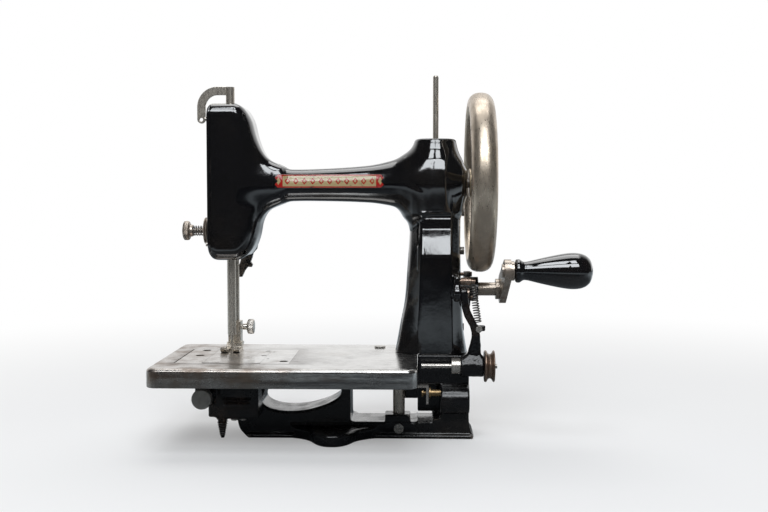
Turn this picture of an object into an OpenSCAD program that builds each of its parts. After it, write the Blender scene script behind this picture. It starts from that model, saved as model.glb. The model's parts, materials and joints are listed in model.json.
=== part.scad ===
// Hand-cranked toy sewing machine on a cast base, in millimetres.
// The table is z = 0. X runs along the arm, with the head at the left (-X) and the
// handwheel at the right (+X). The front is -Y. Arm, crank and lower shafts lie in y = 0.

/* [Drive train] */
// Height of the crank shaft above the table
crank_z = 114.5; // [114:0.5:116]
// Teeth of the crank gear and of each idler gear
big_teeth = 30; // [30]
// Teeth of the arm shaft pinion and of the lower shaft pinion
pinion_teeth = 16; // [16]
// Module of all spur gears
gear_module = 1; // [1]
// Width of each gear
gear_w = 7; // [6:0.5:8]
// Radial running clearance of shafts in their bushes
run_clear = 0.05; // [0.03:0.01:0.08]

/* [Bed] */
// Height of the bed surface above the table
bed_top = 64.7; // [64:0.1:65.5]
// Height of the bed's skirt
bed_h = 14; // [12:0.5:15]
// Left end of the bed
bed_x0 = -207.7; // [-212:0.1:-204]
// Right end of the bed
bed_x1 = -14; // [-15:0.1:-13.9]
// Front edge of the bed
bed_y0 = -90; // [-94:0.5:-86]
// Rear edge of the bed
bed_y1 = 42; // [40:0.5:45]
// Corner radius of the bed
bed_r = 8; // [6:0.5:10]

/* [Handwheel] */
// Outside radius of the handwheel
wheel_r = 69.5; // [66:0.5:72]
// Axial width of the handwheel rim
wheel_w = 19.5; // [17:0.5:20]
// Middle of the rim along the shaft
wheel_x = 34.4; // [34:0.1:35]

/* [Crank] */
// Distance from the crank shaft to the handle axis
crank_r = 48; // [45:0.5:50]
// Angle of the crank arm above level, towards the front
crank_lift = 21; // [18:1:24]
// Largest diameter of the turned handle
grip_d = 27; // [25:0.5:28]

/* [Needle] */
// Distance from the pillar to the needle
needle_x = -160.5; // [-161:0.1:-160]
// Travel of the needle bar
needle_stroke = 26; // [24:0.5:26]
// Diameter of the needle bar and of the presser bar
bar_d = 6.8; // [6.5:0.1:7]
// Distance from the needle bar back to the presser bar
presser_y = 16; // [15.8:0.1:16.2]

/* [Spool pin] */
// Diameter of the spool pin
spool_d = 4.4; // [4:0.1:5]
// Height of the spool pin's tip above the table
spool_top = 280.3; // [275:0.1:285]

/* [Hidden] */
$fn = 64;
overlap = 0.01;

// colours
japan = [0.03, 0.03, 0.035];
nickel = [0.72, 0.70, 0.66];
steel = [0.55, 0.54, 0.52];
brass = [0.72, 0.55, 0.28];

// gear train: each axis stands one meshing distance from the last
small_idler_teeth = 20;
function mesh(teeth_a, teeth_b) = gear_module * (teeth_a + teeth_b) / 2;
upper_1_z = crank_z + mesh(big_teeth, big_teeth);
upper_2_z = upper_1_z + mesh(big_teeth, big_teeth);
arm_z = upper_2_z + mesh(big_teeth, pinion_teeth);
lower_1_z = crank_z - mesh(big_teeth, big_teeth);
lower_2_z = lower_1_z - mesh(big_teeth, small_idler_teeth);
lower_z = lower_2_z - mesh(small_idler_teeth, pinion_teeth);
gear_x = 4;

// radii of shafts and of the holes for their bushes
arm_shaft_r = 4;
arm_bush_r = 6;
arm_bore_r = 9.4;
lower_shaft_r = 3.5;
lower_bush_r = 5;
crank_shaft_r = 5.2;
bearing_r = 7;
stud_r = 3;
bar_r = bar_d / 2;
bar_bush_r = 5;

crank_throw = needle_stroke / 2;
crank_pin_z = arm_z - crank_throw;
handle_y = -crank_r * cos(crank_lift);
handle_z = crank_z + crank_r * sin(crank_lift);
handle_r = 3;

// bed, its plates and the support post
bed_bottom = bed_top - bed_h;
plate_bottom = bed_top - 2;
hinge_x = -191.8;
hinge_z = bed_top - 1;
hinge_r = 0.6;
post_x = -28.3;
post_y = -10;
post_r = 4.6;
post_z0 = 14.6;
post_screw_z = 7.7;

// screw places and radii
table_screw_x = -78;
table_screw_y = 39;
bed_screw_left = [-141, 24.5];
bed_screw_right = [-44.2, 24];
bed_screw_left_r = 2;
bed_screw_right_r = 2.15;
arm_screw_x = -20;
arm_screw_ys = [-8, 10.5];
arm_screw_r = 2;
plate_screw_places = [[-131.8, -24], [-131.8, 0]];
plate_screw_r = 1.05;
cover_screw_x = -12;
cover_screw_zs = [76, 127, 178];
cover_screw_r = 1.25;
// columns: y, z
face_screws = [[-18.3, 150], [-18.3, 246], [23.3, 150], [23.3, 246]];
bearing_screw_places = [for (a = [90, 210, 330]) [0, crank_z] + polar(11.6, a)];

// small mechanisms
regulator_y = -20;
regulator_z = 35.8;
regulator_r = 2.2;
regulator_pivot_r = 1.6;
knob_x = -172;
knob_z = 38.3;
knob_stem_r = 2;
looper_screw_y = -32;
looper_tension_x = -162.7;
looper_screw_xs = [-153.5, -147];
tension_z = 160;
tension_stud_r = 1.95;
lifter_x = -148.5;
lifter_z = 147.6;
spool_stem_z = 217;
spool_stem_r = 2;
wheel_screw_x = 38.5;
winder_y = -28;
winder_z = 113.4;
winder_pivot_r = 2.5;
winder_upper_z = 122.5;
winder_upper_r = 2;
spindle_z = 58;
spindle_r = 1.75;

// ---------------------------------------------------------------- helpers
function polar(radius, angle) = [radius * cos(angle), radius * sin(angle)];

// cylinder along X about (y, z)
module rod_x(x0, x1, radius, y = 0, z = 0, fn = 64) {
  translate([x0, y, z])
    rotate([0, 90, 0]) cylinder(h = x1 - x0, r = radius, $fn = fn);
}

// cylinder along Y about (x, z)
module rod_y(y0, y1, radius, x = 0, z = 0, fn = 48) {
  translate([x, y1, z])
    rotate([90, 0, 0]) cylinder(h = y1 - y0, r = radius, $fn = fn);
}

// cylinder along Z about (x, y)
module rod_z(z0, z1, radius, x = 0, y = 0, fn = 48) {
  translate([x, y, z0]) cylinder(h = z1 - z0, r = radius, $fn = fn);
}

// cylinders sharing an axis along X; steps are [x0, x1, radius]
module stepped_x(steps, y = 0, z = 0) {
  for (step = steps) rod_x(step[0], step[1], step[2], y, z);
}

module box(x0, x1, y0, y1, z0, z1) {
  translate([x0, y0, z0]) cube([x1 - x0, y1 - y0, z1 - z0]);
}

// front-view outline of [x, z] points extruded from y0 to y1
module front_slab(y0, y1, outline) {
  translate([0, y1, 0]) rotate([90, 0, 0]) linear_extrude(y1 - y0) polygon(outline);
}

// part turned about an axis along X; profile points are [x, radius]
module turned(profile, y = 0, z = 0, fn = 64) {
  translate([0, y, z]) rotate([0, 90, 0]) rotate_extrude($fn = fn)
    polygon([for (p = profile) [p[1], p[0]]]);
}

// knurled disc along +Z; count points alternate between crest and groove
module knurled(radius, count, height) {
  linear_extrude(height)
    polygon([for (i = [0 : count - 1])
      polar(i % 2 == 0 ? radius : radius - 0.4, i * 360 / count)]);
}

// slotted screw: head from z = 0 upwards, shank below
module screw(head_r, head_h, shank_r, shank_l) {
  slot_w = 0.9;
  difference() {
    union() {
      cylinder(h = head_h, r = head_r, $fn = 40);
      translate([0, 0, -shank_l]) cylinder(h = shank_l + overlap, r = shank_r, $fn = 32);
    }
    translate([-head_r - 1, -slot_w / 2, head_h * 0.5])
      cube([2 * head_r + 2, slot_w, head_h]);
  }
}

// point of an involute flank; half_base is the tooth's half angle at the base circle
function flank_point(base_r, half_base, radius, side, middle) =
  let (unwind = sqrt(max(0, pow(radius / base_r, 2) - 1)),
       spread = unwind * 180 / PI - atan(unwind))
  polar(radius, middle + side * (half_base - spread));

pressure_angle = 20;
pressure_involute = 0.854; // involute of the pressure angle, in degrees
addendum = 0.9;            // tooth height outside the pitch circle, in modules
dedendum = 1.2;            // tooth depth inside it, in modules
backlash = 0.10;
function gear_points(teeth, first_angle) =
  let (pitch_r = gear_module * teeth / 2,
       base_r = pitch_r * cos(pressure_angle),
       tip_r = pitch_r + addendum * gear_module,
       root_r = pitch_r - dedendum * gear_module,
       half_base = 90 / teeth - backlash / 2 / pitch_r * 180 / PI + pressure_involute,
       half_root = half_base * 0.82,
       radii = [base_r * 1.002, (base_r + pitch_r) / 2, pitch_r,
                (pitch_r + tip_r) / 2, tip_r])
  [for (k = [0 : teeth - 1]) let (middle = first_angle + k * 360 / teeth) each [
    polar(root_r, middle - half_root),
    for (i = [0 : 4]) flank_point(base_r, half_base, radii[i], -1, middle),
    for (i = [4 : -1 : 0]) flank_point(base_r, half_base, radii[i], 1, middle),
    polar(root_r, middle + half_root)]];

// first tooth angles that put a tooth or a gap straight up
tooth_up = 90;
function gap_up(teeth) = 90 - 180 / teeth;

// spur gear about the X axis; large gears have five lightening holes
module spur(teeth, z, bore, first_angle) {
  translate([gear_x, 0, z]) rotate([90, 0, 90]) difference() {
    linear_extrude(gear_w) polygon(gear_points(teeth, first_angle));
    translate([0, 0, -1]) cylinder(h = gear_w + 2, r = bore);
    if (teeth > 20)
      for (a = [0 : 72 : 359])
        rotate(a + 18) translate([9, 0, -1]) cylinder(h = gear_w + 2, r = 2.3, $fn = 32);
  }
}

// helical wire spring along +Z from z = 0
coil_steps = 12; // wire sections in a turn
wire_sides = 5;
module coil(radius, wire_r, length, turns) {
  last = turns * coil_steps;
  pitch = (length - 2 * wire_r) / turns;
  function wire_point(angle, around) =
    [(radius + wire_r * cos(around)) * cos(angle),
     (radius + wire_r * cos(around)) * sin(angle),
     pitch * angle / 360 + wire_r * sin(around)];
  translate([0, 0, wire_r]) polyhedron(
    points = [for (i = [0 : last], s = [0 : wire_sides - 1])
      wire_point(i * 360 / coil_steps, s * 360 / wire_sides)],
    faces = concat(
      [[for (s = [0 : wire_sides - 1]) s]],
      [for (i = [0 : last - 1], s = [0 : wire_sides - 1])
        let (here = i * wire_sides, next = here + wire_sides, t = (s + 1) % wire_sides)
        each [[here + s, next + s, next + t], [here + s, next + t, here + t]]],
      [[for (s = [wire_sides - 1 : -1 : 0]) last * wire_sides + s]]));
}

// ---------------------------------------------------------------- base and bed
// rail, left upright and strut: x, z
base_outline = [
  [-154, 12.3], [-147, 0], [27, 0], [29.2, 3], [26, 8], [25.8, 44], [-13.7, 44],
  [-13.7, 12.4], [-65.8, 12.4], [-65.8, 50.7], [-72.7, 50.7], [-72.7, 31.5],
  [-75, 31.4], [-84.2, 26.4], [-98, 21.5], [-117, 20.3], [-130, 23], [-136.4, 27],
  [-131, 38], [-131, 50.7], [-146, 50.7], [-150, 38]];

// floor rail with screw lugs, left upright, middle strut, right gear tower
module base_frame() {
  ear_top = 50.7;
  lug_h = 9;
  color(japan) difference() {
    union() {
      front_slab(-18, 18, base_outline);
      // gear tower up to the foot of the arm
      box(-13.7, 25.8, -18.4, 18.4, 43.9, bed_top);
      // front and rear lugs that screw to a table
      for (side = [-1, 1]) {
        rod_z(0, lug_h, 13, table_screw_x, side * table_screw_y);
        linear_extrude(lug_h) polygon([
          [-108, side * 17], [-91, side * table_screw_y],
          [-65, side * table_screw_y], [-50, side * 17]]);
      }
      // ears under the bed
      box(-148, -134, 17.9, 30, 45, ear_top);
      box(-52, -13.7, 15, 30, 45, ear_top);
      box(-25, -13.6, 2, 6.8, 27.4, ear_top);
      // block for the support post
      box(-39, -20, -18, -2, 9, 18.4);
      // boss of the regulator stud
      rod_x(3.9, 25.8, 11.1, regulator_y, 30.9);
    }
    // hollow underside
    box(-128, -50, -12, 12, -1, 6);
    box(-40, -10, -12, 12, -1, 6);
    // gear well
    box(2, 13, -11.8, 11.8, 31, bed_top + 1);
    // open window on the left of the tower
    box(-13.8, 3.9, -19, 10, 15, 43);
    box(-13.8, -2, -19, 19, 12.4, 15.4);
    // lower shaft clearance and bearings
    stepped_x([[-30, 3, 4.2], [12, 30, lower_bush_r],
      [-160, -120, lower_bush_r], [-80, -60, 4.2]], 0, lower_z);
    // idler stud hole
    rod_x(12, 22.4, stud_r, 0, lower_2_z);
    // support post hole and its set screw
    rod_z(post_z0, 30, post_r, post_x, post_y);
    rod_y(-19, -10, 2, post_x, post_screw_z);
    // countersunk screw holes to the table
    for (side = [-1, 1]) {
      rod_z(-1, 10, 2.75, table_screw_x, side * table_screw_y);
      translate([table_screw_x, side * table_screw_y, 6])
        cylinder(h = 3.1, r1 = 2.75, r2 = 5.5);
    }
    rod_z(40, 52, bed_screw_left_r, bed_screw_left[0], bed_screw_left[1]);
    rod_z(40, 52, bed_screw_right_r, bed_screw_right[0], bed_screw_right[1]);
    rod_x(3, 16, regulator_r, regulator_y, regulator_z);
  }
}

// rounded rectangle with the bed's outline set in by inset
module bed_slab(inset, radius, z0, height) {
  x0 = bed_x0 + inset;
  x1 = bed_x1 - inset;
  y0 = bed_y0 + inset;
  y1 = bed_y1 - inset;
  translate([0, 0, z0]) linear_extrude(height) union() {
    translate([x0 + radius, y0]) square([x1 - x0 - 2 * radius, y1 - y0]);
    translate([x0, y0 + radius]) square([x1 - x0, y1 - y0 - 2 * radius]);
    for (x = [x0 + radius, x1 - radius], y = [y0 + radius, y1 - radius])
      translate([x, y]) circle(radius, $fn = 48);
  }
}

// casting with a skirt, hollow underneath
module bed_plate() {
  drill_z = bed_bottom - 3;
  color(nickel) difference() {
    union() {
      bed_slab(0, bed_r, bed_bottom, bed_h - 2.5);
      bed_slab(0.8, bed_r, bed_top - 2.5 - overlap, 1.3 + overlap);
      bed_slab(2.2, bed_r, bed_top - 1.2 - overlap, 1.2 + overlap);
    }
    difference() {
      bed_slab(4, bed_r - 3, bed_bottom - 1, bed_h - 3.5);
      // bosses for the base screws and the post, and a block at the arm's foot
      for (p = [bed_screw_left, bed_screw_right, [post_x, post_y]])
        rod_z(bed_bottom - 2, bed_top - 2, 7, p[0], p[1]);
      box(-42, -13, -20, 20, bed_bottom - 2, bed_top - 2);
    }
    // recess and openings for the plates over the looper
    box(-193, -108, -63, 8, plate_bottom, bed_top + 1);
    box(-189, -133, -59, 7, bed_top - 6, bed_top + 1);
    box(-126, -112, -59, 4, bed_top - 6, bed_top + 1);
    // pivot holes of the hinged plate
    rod_y(-65.6, 10.6, hinge_r + run_clear, hinge_x, hinge_z);
    // post and screw holes
    rod_z(drill_z, bed_top - 4, post_r, post_x, post_y);
    rod_z(drill_z, bed_top + 1, bed_screw_right_r, bed_screw_right[0], bed_screw_right[1]);
    translate([bed_screw_right[0], bed_screw_right[1], bed_top - 1.5])
      cylinder(h = 3, r = 4.6);
    rod_z(drill_z, bed_top - 4, bed_screw_left_r, bed_screw_left[0], bed_screw_left[1]);
    for (y = arm_screw_ys) rod_z(drill_z, bed_top + 1, arm_screw_r, arm_screw_x, y);
    for (p = plate_screw_places) rod_z(bed_top - 8, bed_top, plate_screw_r, p[0], p[1]);
  }
}

// sideways offsets of the two feed slots from the needle
feed_offsets = [-4.4, 4.4];

module needle_plate() {
  right = -129.45;
  color(nickel) difference() {
    union() {
      box(-171.9, right, -60, 7.95, plate_bottom, bed_top);
      // bowed front edge
      intersection() {
        box(-160, right, -63, -59.9, plate_bottom, bed_top);
        rod_z(plate_bottom, bed_top, 40, -144.7, -23, 96);
      }
    }
    // needle hole and feed slots
    rod_z(bed_top - 3, bed_top + 1, 1.6, needle_x, 0);
    for (x = feed_offsets)
      box(needle_x + x - 1.4, needle_x + x + 1.4, -7, 6, bed_top - 3, bed_top + 1);
    for (p = plate_screw_places) {
      rod_z(bed_top - 3, bed_top + 1, 1.1, p[0], p[1]);
      rod_z(bed_top - 1, bed_top + 1, 2.1, p[0], p[1]);
    }
  }
}

// plate over the looper, hinged along its left edge
module hinged_plate() {
  color(nickel) difference() {
    union() {
      box(hinge_x, -172.1, -62.8, 7.8, plate_bottom, bed_top);
      // rounded hinge edge and its two pivots
      rod_y(-62.8, 7.8, 0.95, hinge_x, hinge_z);
      rod_y(-65, 10, hinge_r, hinge_x, hinge_z);
    }
    // finger scallops
    for (y = [-24, 3]) rod_z(bed_top - 0.8, bed_top + 1, 3.4, -181, y);
  }
}

module insert_plate() {
  color(nickel) difference() {
    box(-129.3, -108.1, -62.9, 7.9, plate_bottom, bed_top);
    rod_z(bed_top - 1.2, bed_top + 1, 3.2, -113, -52);
    for (y = [-40, -5]) rod_z(bed_top - 3, bed_top + 1, 1.1, -126.5, y);
  }
}

module plate_screws() {
  color(steel) for (p = plate_screw_places)
    translate([p[0], p[1], bed_top - 1]) screw(2, 0.9, plate_screw_r, 4);
}

module bed_screws() {
  color(nickel) {
    translate([bed_screw_right[0], bed_screw_right[1], bed_top - 1.5])
      screw(4.5, 2.6, bed_screw_right_r, 17);
    translate([bed_screw_left[0], bed_screw_left[1], 45])
      rotate([180, 0, 0]) screw(3.8, 2.2, bed_screw_left_r, 15);
    for (y = arm_screw_ys)
      translate([arm_screw_x, y, bed_bottom])
        rotate([180, 0, 0]) screw(3.6, 2.2, arm_screw_r, 25);
    // set screw below the post
    translate([post_x, -18, post_screw_z]) rotate([90, 0, 0]) screw(3.8, 2.2, 2, 7);
  }
}

module support_post() {
  color(nickel) rod_z(post_z0, bed_top - 4.1, post_r, post_x, post_y);
}

// ---------------------------------------------------------------- arm and head
// pillar from the front: x, z
pillar_outline = [
  [-28, bed_top], [24, bed_top], [22.6, 80], [21, 120], [20, 165], [20, 190],
  [-20, 190], [-20, 165], [-21, 140], [-23.5, 105], [-26, 80]];
// pillar from above: x, y
pillar_plan = [
  [-28.1, -6], [-12, -18.5], [13, -18.5], [24.1, -8],
  [24.1, 10], [13, 18.5], [-12, 18.5], [-28.1, 8]];
// arm, hub and wheel boss turned about the arm shaft: x, radius
arm_profile = [
  [-140, 0], [-140, 15.5], [-131, 13.9], [-121, 13.2], [-106, 12.8], [-75, 13],
  [-50, 14.6], [-40, 16.2], [-31.7, 18.6], [-26, 21.6], [-20, 24], [-14, 24.6],
  [12, 24.6], [17, 22.5], [20, 18], [23.6, 12], [23.6, 0]];
// head from the front: x, z
head_outline = [
  [-173, 150], [-170.5, 141.5], [-165, 137.4], [-150, 137.4], [-143, 142.5],
  [-137.5, 152], [-134, 165], [-131, 176], [-120, 184.6], [-120, 210.4], [-131, 219],
  [-136, 232], [-139.5, 246], [-145, 254], [-152, 258.4], [-167, 258.4], [-173, 256]];
// head from above: x, y
head_plan = [
  [-173, -20], [-149, -20], [-141, -17], [-132, -13.5], [-119, -13.2],
  [-119, 13.2], [-132, 16], [-141, 22], [-149, 25], [-173, 25]];

// hollow pillar, round arm and head in one casting
module arm_casting() {
  color(japan) difference() {
    union() {
      intersection() {
        front_slab(-18.5, 18.5, pillar_outline);
        linear_extrude(250) polygon(pillar_plan);
      }
      turned(arm_profile, 0, arm_z);
      // top boss for the spool pin
      rod_z(arm_z, 231.4, 15.5);
      // lug for the winder
      rod_x(13.6, 18.3, 6.5, winder_y, winder_z);
      box(13.6, 18.3, winder_y - 4, -12, 108, 127);
      intersection() {
        front_slab(-20, 25, head_outline);
        linear_extrude(300) polygon(head_plan);
      }
    }
    // hollow head, open at the left
    box(-174, -147, -16.6, 21.6, 142.4, 250);
    // hollow arm and pillar
    rod_x(-148, -18, arm_bore_r, 0, arm_z);
    box(-14, 14, -14.5, 14.5, 60, 190);
    box(2, 13.5, -16.6, 16.6, 60, 192);
    rod_x(2, 13.5, 16.6, 0, upper_2_z);
    rod_x(-14, 13.5, 12, 0, arm_z);
    // rear opening and the seat of its cover
    box(-10, 12, 14, 30, 76, 178);
    box(-14.05, 14.05, 16.5, 30, 69.95, 184.05);
    cover_screw_holes();
    // shaft, stud and bearing screw holes
    rod_x(-30, 30, arm_bush_r, 0, arm_z);
    rod_x(10, 30, bearing_r, 0, crank_z);
    for (p = bearing_screw_places) rod_x(17, 30, 1.4, p[0], p[1], 32);
    for (z = [upper_1_z, upper_2_z, lower_1_z]) rod_x(10, 22.4, stud_r, 0, z);
    rod_z(spool_stem_z, 240, spool_stem_r);
    // bars through the head
    rod_z(130, 262, bar_bush_r, needle_x, 0);
    rod_z(130, 146, bar_bush_r, needle_x, presser_y);
    for (p = face_screws) rod_x(-174, -165, 1, p[0], p[1], 32);
    for (y = arm_screw_ys) rod_z(60, bed_top + 11, arm_screw_r, arm_screw_x, y);
    // lifter pivot and winder studs
    rod_y(19, 26, 1.8, lifter_x, lifter_z);
    rod_x(10, 30, winder_pivot_r, winder_y, winder_z);
    rod_x(12, 30, winder_upper_r, winder_y, winder_upper_z);
  }
}

module cover_screw_holes() {
  for (z = cover_screw_zs) rod_y(14, 20, cover_screw_r, cover_screw_x, z);
}

module rear_cover() {
  color(japan) difference() {
    box(-14, 14, 16.55, 18.5, 70, 184);
    cover_screw_holes();
  }
}

module cover_screws() {
  color(nickel) for (z = cover_screw_zs)
    translate([cover_screw_x, 18.5, z])
      rotate([-90, 0, 0]) screw(1.9, 1.2, cover_screw_r, 3.4);
}

// plate that closes the left end of the head
module face_plate() {
  color(japan) difference() {
    intersection() {
      box(-176, -173, -20, 25, 130, 270);
      front_slab(-20, 25, [
        [-180, 150], [-180, 146], [-171, 138.5], [-160, 138],
        [-160, 257], [-171, 257.6], [-180, 253]]);
    }
    rod_x(-177, -172, 2, 0, tension_z);
    for (p = face_screws) rod_x(-177, -172, 1.3, p[0], p[1], 32);
  }
}

module face_plate_screws() {
  color(nickel) for (p = face_screws)
    translate([-176, p[0], p[1]]) rotate([0, -90, 0]) screw(1.6, 0.8, 0.98, 8);
}

// domed button on the face plate with a cross hole
module thread_guide() {
  color(nickel) difference() {
    turned([[-178.4, 0], [-178.4, 3], [-177.6, 5.6], [-176, 7.4], [-176, 0]],
      0, 192.5, 48);
    rod_y(-9, 9, 0.9, -177, 197, 24);
  }
}

module spool_pin() {
  color(nickel) union() {
    rod_z(spool_stem_z, 231.6, spool_stem_r);
    rod_z(231.5, spool_top - 1, spool_d / 2);
    translate([0, 0, spool_top - 1])
      cylinder(h = 1, r1 = spool_d / 2, r2 = spool_d / 2 - 0.6, $fn = 48);
  }
}

// plain bush about a shaft along X
module bush(x0, x1, radius, shaft_r, z) {
  difference() {
    rod_x(x0, x1, radius, 0, z);
    rod_x(x0 - 1, x1 + 1, shaft_r + run_clear, 0, z);
  }
}

module shaft_bushes() {
  color(brass) {
    bush(14, 24.2, arm_bush_r, arm_shaft_r, arm_z);
    bush(-30, -16, arm_bush_r, arm_shaft_r, arm_z);
    bush(-146.5, -138, arm_bore_r, arm_shaft_r, arm_z);
    bush(13.2, 25.9, lower_bush_r, lower_shaft_r, lower_z);
    bush(-147, -132, lower_bush_r, lower_shaft_r, lower_z);
  }
}

// two bushes for the needle bar, one for the presser bar
module head_bushes() {
  // columns: y, z0, z1
  places = [[0, 137, 142.4], [0, 250, 259.2], [presser_y, 136.6, 146]];
  color(steel) for (p = places) difference() {
    rod_z(p[1], p[2], bar_bush_r, needle_x, p[0]);
    rod_z(p[1] - 1, p[2] + 1, bar_r + run_clear, needle_x, p[0]);
  }
}

module crank_bearing() {
  color(japan) difference() {
    stepped_x([[22.2, 27, 14], [16, 22.3, bearing_r], [26.9, 33.2, 9.5]], 0, crank_z);
    rod_x(10, 40, crank_shaft_r + run_clear, 0, crank_z);
    for (p = bearing_screw_places) rod_x(20, 30, 1.4, p[0], p[1], 32);
  }
}

module bearing_screws() {
  color(brass) for (p = bearing_screw_places)
    translate([27, p[0], p[1]]) rotate([0, 90, 0]) screw(1.9, 1.6, 1.35, 9);
}

// ---------------------------------------------------------------- drive train
// studs with a head left of the gear and a collar right of it
module idler_studs() {
  // columns: z, right end of the collar
  studs = [[upper_1_z, 13.5], [upper_2_z, 13.5], [lower_1_z, 13.5], [lower_2_z, 13]];
  color(steel) for (stud = studs)
    stepped_x([[3.7, 22.4, stud_r], [2.1, 3.8, 5], [11.2, stud[1], 4.4]], 0, stud[0]);
}

module arm_shaft() {
  color(steel) rod_x(-148, 42, arm_shaft_r, 0, arm_z);
}

module arm_gear() {
  color(steel) spur(pinion_teeth, arm_z, arm_shaft_r, gap_up(pinion_teeth));
}

// disc with a pin, here at the bottom of its stroke
module needle_crank() {
  color(steel) difference() {
    union() {
      rod_x(-152, -148, 16, 0, arm_z);
      rod_x(-153.1, -151.9, 2.5, 0, crank_pin_z);
      rod_x(-148.1, -146.9, 6.5, 0, arm_z);
    }
    for (y = [-9, 9]) rod_x(-155, -140, 3.4, y, arm_z + 6);
    rod_x(-148, -140, arm_shaft_r, 0, arm_z);
  }
}

module handwheel() {
  rim_middle_r = wheel_r - wheel_w / 2;
  spoke_end_r = wheel_r - wheel_w + 1.5;
  spoke_t = 6;
  color(nickel) difference() {
    union() {
      // round rim section with a flat-sided core
      translate([wheel_x, 0, arm_z]) rotate([0, 90, 0]) rotate_extrude($fn = 128) union() {
        translate([rim_middle_r, 0]) circle(wheel_w / 2, $fn = 48);
        translate([rim_middle_r - 2.5, -wheel_w * 0.36]) square([4, wheel_w * 0.72]);
      }
      // hub
      rod_x(26, 43, 11, 0, arm_z);
      // five tapering spokes
      for (a = [0 : 72 : 359])
        translate([wheel_x, 0, arm_z]) rotate([a, 0, 0])
          translate([-spoke_t / 2, 0, 0]) rotate([90, 0, 90]) linear_extrude(spoke_t)
            polygon([[-5.5, 9], [5.5, 9], [4, spoke_end_r], [-4, spoke_end_r]]);
    }
    rod_x(20, 60, arm_shaft_r, 0, arm_z);
    rod_z(arm_z, arm_z + 14, 1.8, wheel_screw_x, 0);
  }
}

module wheel_screw() {
  color(nickel) difference() {
    rod_z(arm_z + 4.05, arm_z + 12.5, 1.78, wheel_screw_x, 0);
    box(36, 41, -0.4, 0.4, arm_z + 11.5, arm_z + 14);
  }
}

module upper_idler_gear_1() {
  color(steel) spur(big_teeth, upper_1_z, stud_r + run_clear, gap_up(big_teeth));
}

module upper_idler_gear_2() {
  color(steel) spur(big_teeth, upper_2_z, stud_r + run_clear, tooth_up);
}

module lower_idler_gear_1() {
  color(steel) spur(big_teeth, lower_1_z, stud_r + run_clear, gap_up(big_teeth));
}

module lower_idler_gear_2() {
  color(steel) spur(small_idler_teeth, lower_2_z, stud_r + run_clear, tooth_up);
}

module crank_shaft() {
  color(nickel) difference() {
    rod_x(3, 55, crank_shaft_r, 0, crank_z);
    rod_x(54, 56, 1.5, 0, crank_z);
  }
}

module crank_gear() {
  color(steel) spur(big_teeth, crank_z, crank_shaft_r, tooth_up);
}

// flat plate from the shaft to the handle axis
module crank_arm() {
  arm_t = 5;
  shaft_end_r = 11;
  handle_end_r = 8.5;
  color(nickel) difference() {
    union() {
      translate([50, 0, crank_z]) rotate([180 - crank_lift, 0, 0])
        rotate([90, 0, 90]) union() {
          cylinder(h = arm_t, r = shaft_end_r);
          translate([crank_r, 0, 0]) cylinder(h = arm_t, r = handle_end_r);
          linear_extrude(arm_t) polygon([
            [0, -shaft_end_r], [crank_r, -handle_end_r],
            [crank_r, handle_end_r], [0, shaft_end_r]]);
        }
      rod_x(47, 50.1, 8, 0, crank_z);
    }
    rod_x(40, 60, crank_shaft_r, 0, crank_z);
    rod_x(45, 60, handle_r, handle_y, handle_z);
  }
}

module handle_spindle() {
  color(nickel) stepped_x(
    [[49.9, 108.1, handle_r], [55, 57.2, 7.2], [108, 110, 4.4], [48.4, 50, 5]],
    handle_y, handle_z);
}

// turned handle: x, radius
grip_profile = [
  [57.5, 0], [57.5, 7], [58.6, 8.2], [60.5, 8.6], [62.8, 8.2], [64.2, 7], [65.6, 6.8],
  [69, 7.4], [75, 8.9], [84, 11], [93, 12.8], [100, grip_d / 2], [105, 13.3],
  [109.5, 11.9], [113, 9], [114.6, 5.5], [115, 0]];

module handle_grip() {
  color(japan) difference() {
    turned(grip_profile, handle_y, handle_z);
    rod_x(50, 108.3, handle_r + run_clear, handle_y, handle_z);
    rod_x(107.7, 110.5, 4.7, handle_y, handle_z);
  }
}

module lower_shaft() {
  color(steel) rod_x(-157, 25, lower_shaft_r, 0, lower_z);
}

module lower_gear() {
  color(steel) spur(pinion_teeth, lower_z, lower_shaft_r, gap_up(pinion_teeth));
}

// ---------------------------------------------------------------- under the bed
// hub with a crescent blade on its upper half
module looper() {
  color(nickel) difference() {
    union() {
      rod_x(-162.5, -152, 6, 0, lower_z);
      intersection() {
        difference() {
          rod_x(-162.5, -158.5, 9, 0, lower_z);
          rod_x(-165, -150, 7.4, 0.8, lower_z);
        }
        box(-163, -158, -10, 10, lower_z, lower_z + 12);
      }
      box(-162.5, -158.5, -9, -5.5, lower_z - 1.5, lower_z + 1.5);
    }
    rod_x(-170, -150, lower_shaft_r, 0, lower_z);
  }
}

module looper_housing() {
  color(japan) difference() {
    union() {
      box(-166.5, -134, -40, -18, 18.5, 50.6);
      box(-181, -166.4, -46, -34, 31, 50.6);
      rod_y(-58, -45.9, 7.4, knob_x, knob_z);
      box(-172, -166.4, -40, -28, 20, 32);
    }
    box(-160, -140, -35, -17.9, 26, 44);
    rod_y(-60, -30, knob_stem_r + run_clear, knob_x, knob_z);
    for (x = concat([looper_tension_x], looper_screw_xs))
      rod_z(14, 24, 1.6, x, looper_screw_y);
  }
}

module stitch_knob() {
  color(nickel) union() {
    translate([knob_x, -58.3, knob_z]) rotate([90, 0, 0]) knurled(7.6, 80, 8);
    rod_y(-58.4, -33.9, knob_stem_r, knob_x, knob_z);
    rod_y(-33.95, -32.8, 3.4, knob_x, knob_z);
  }
}

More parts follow.
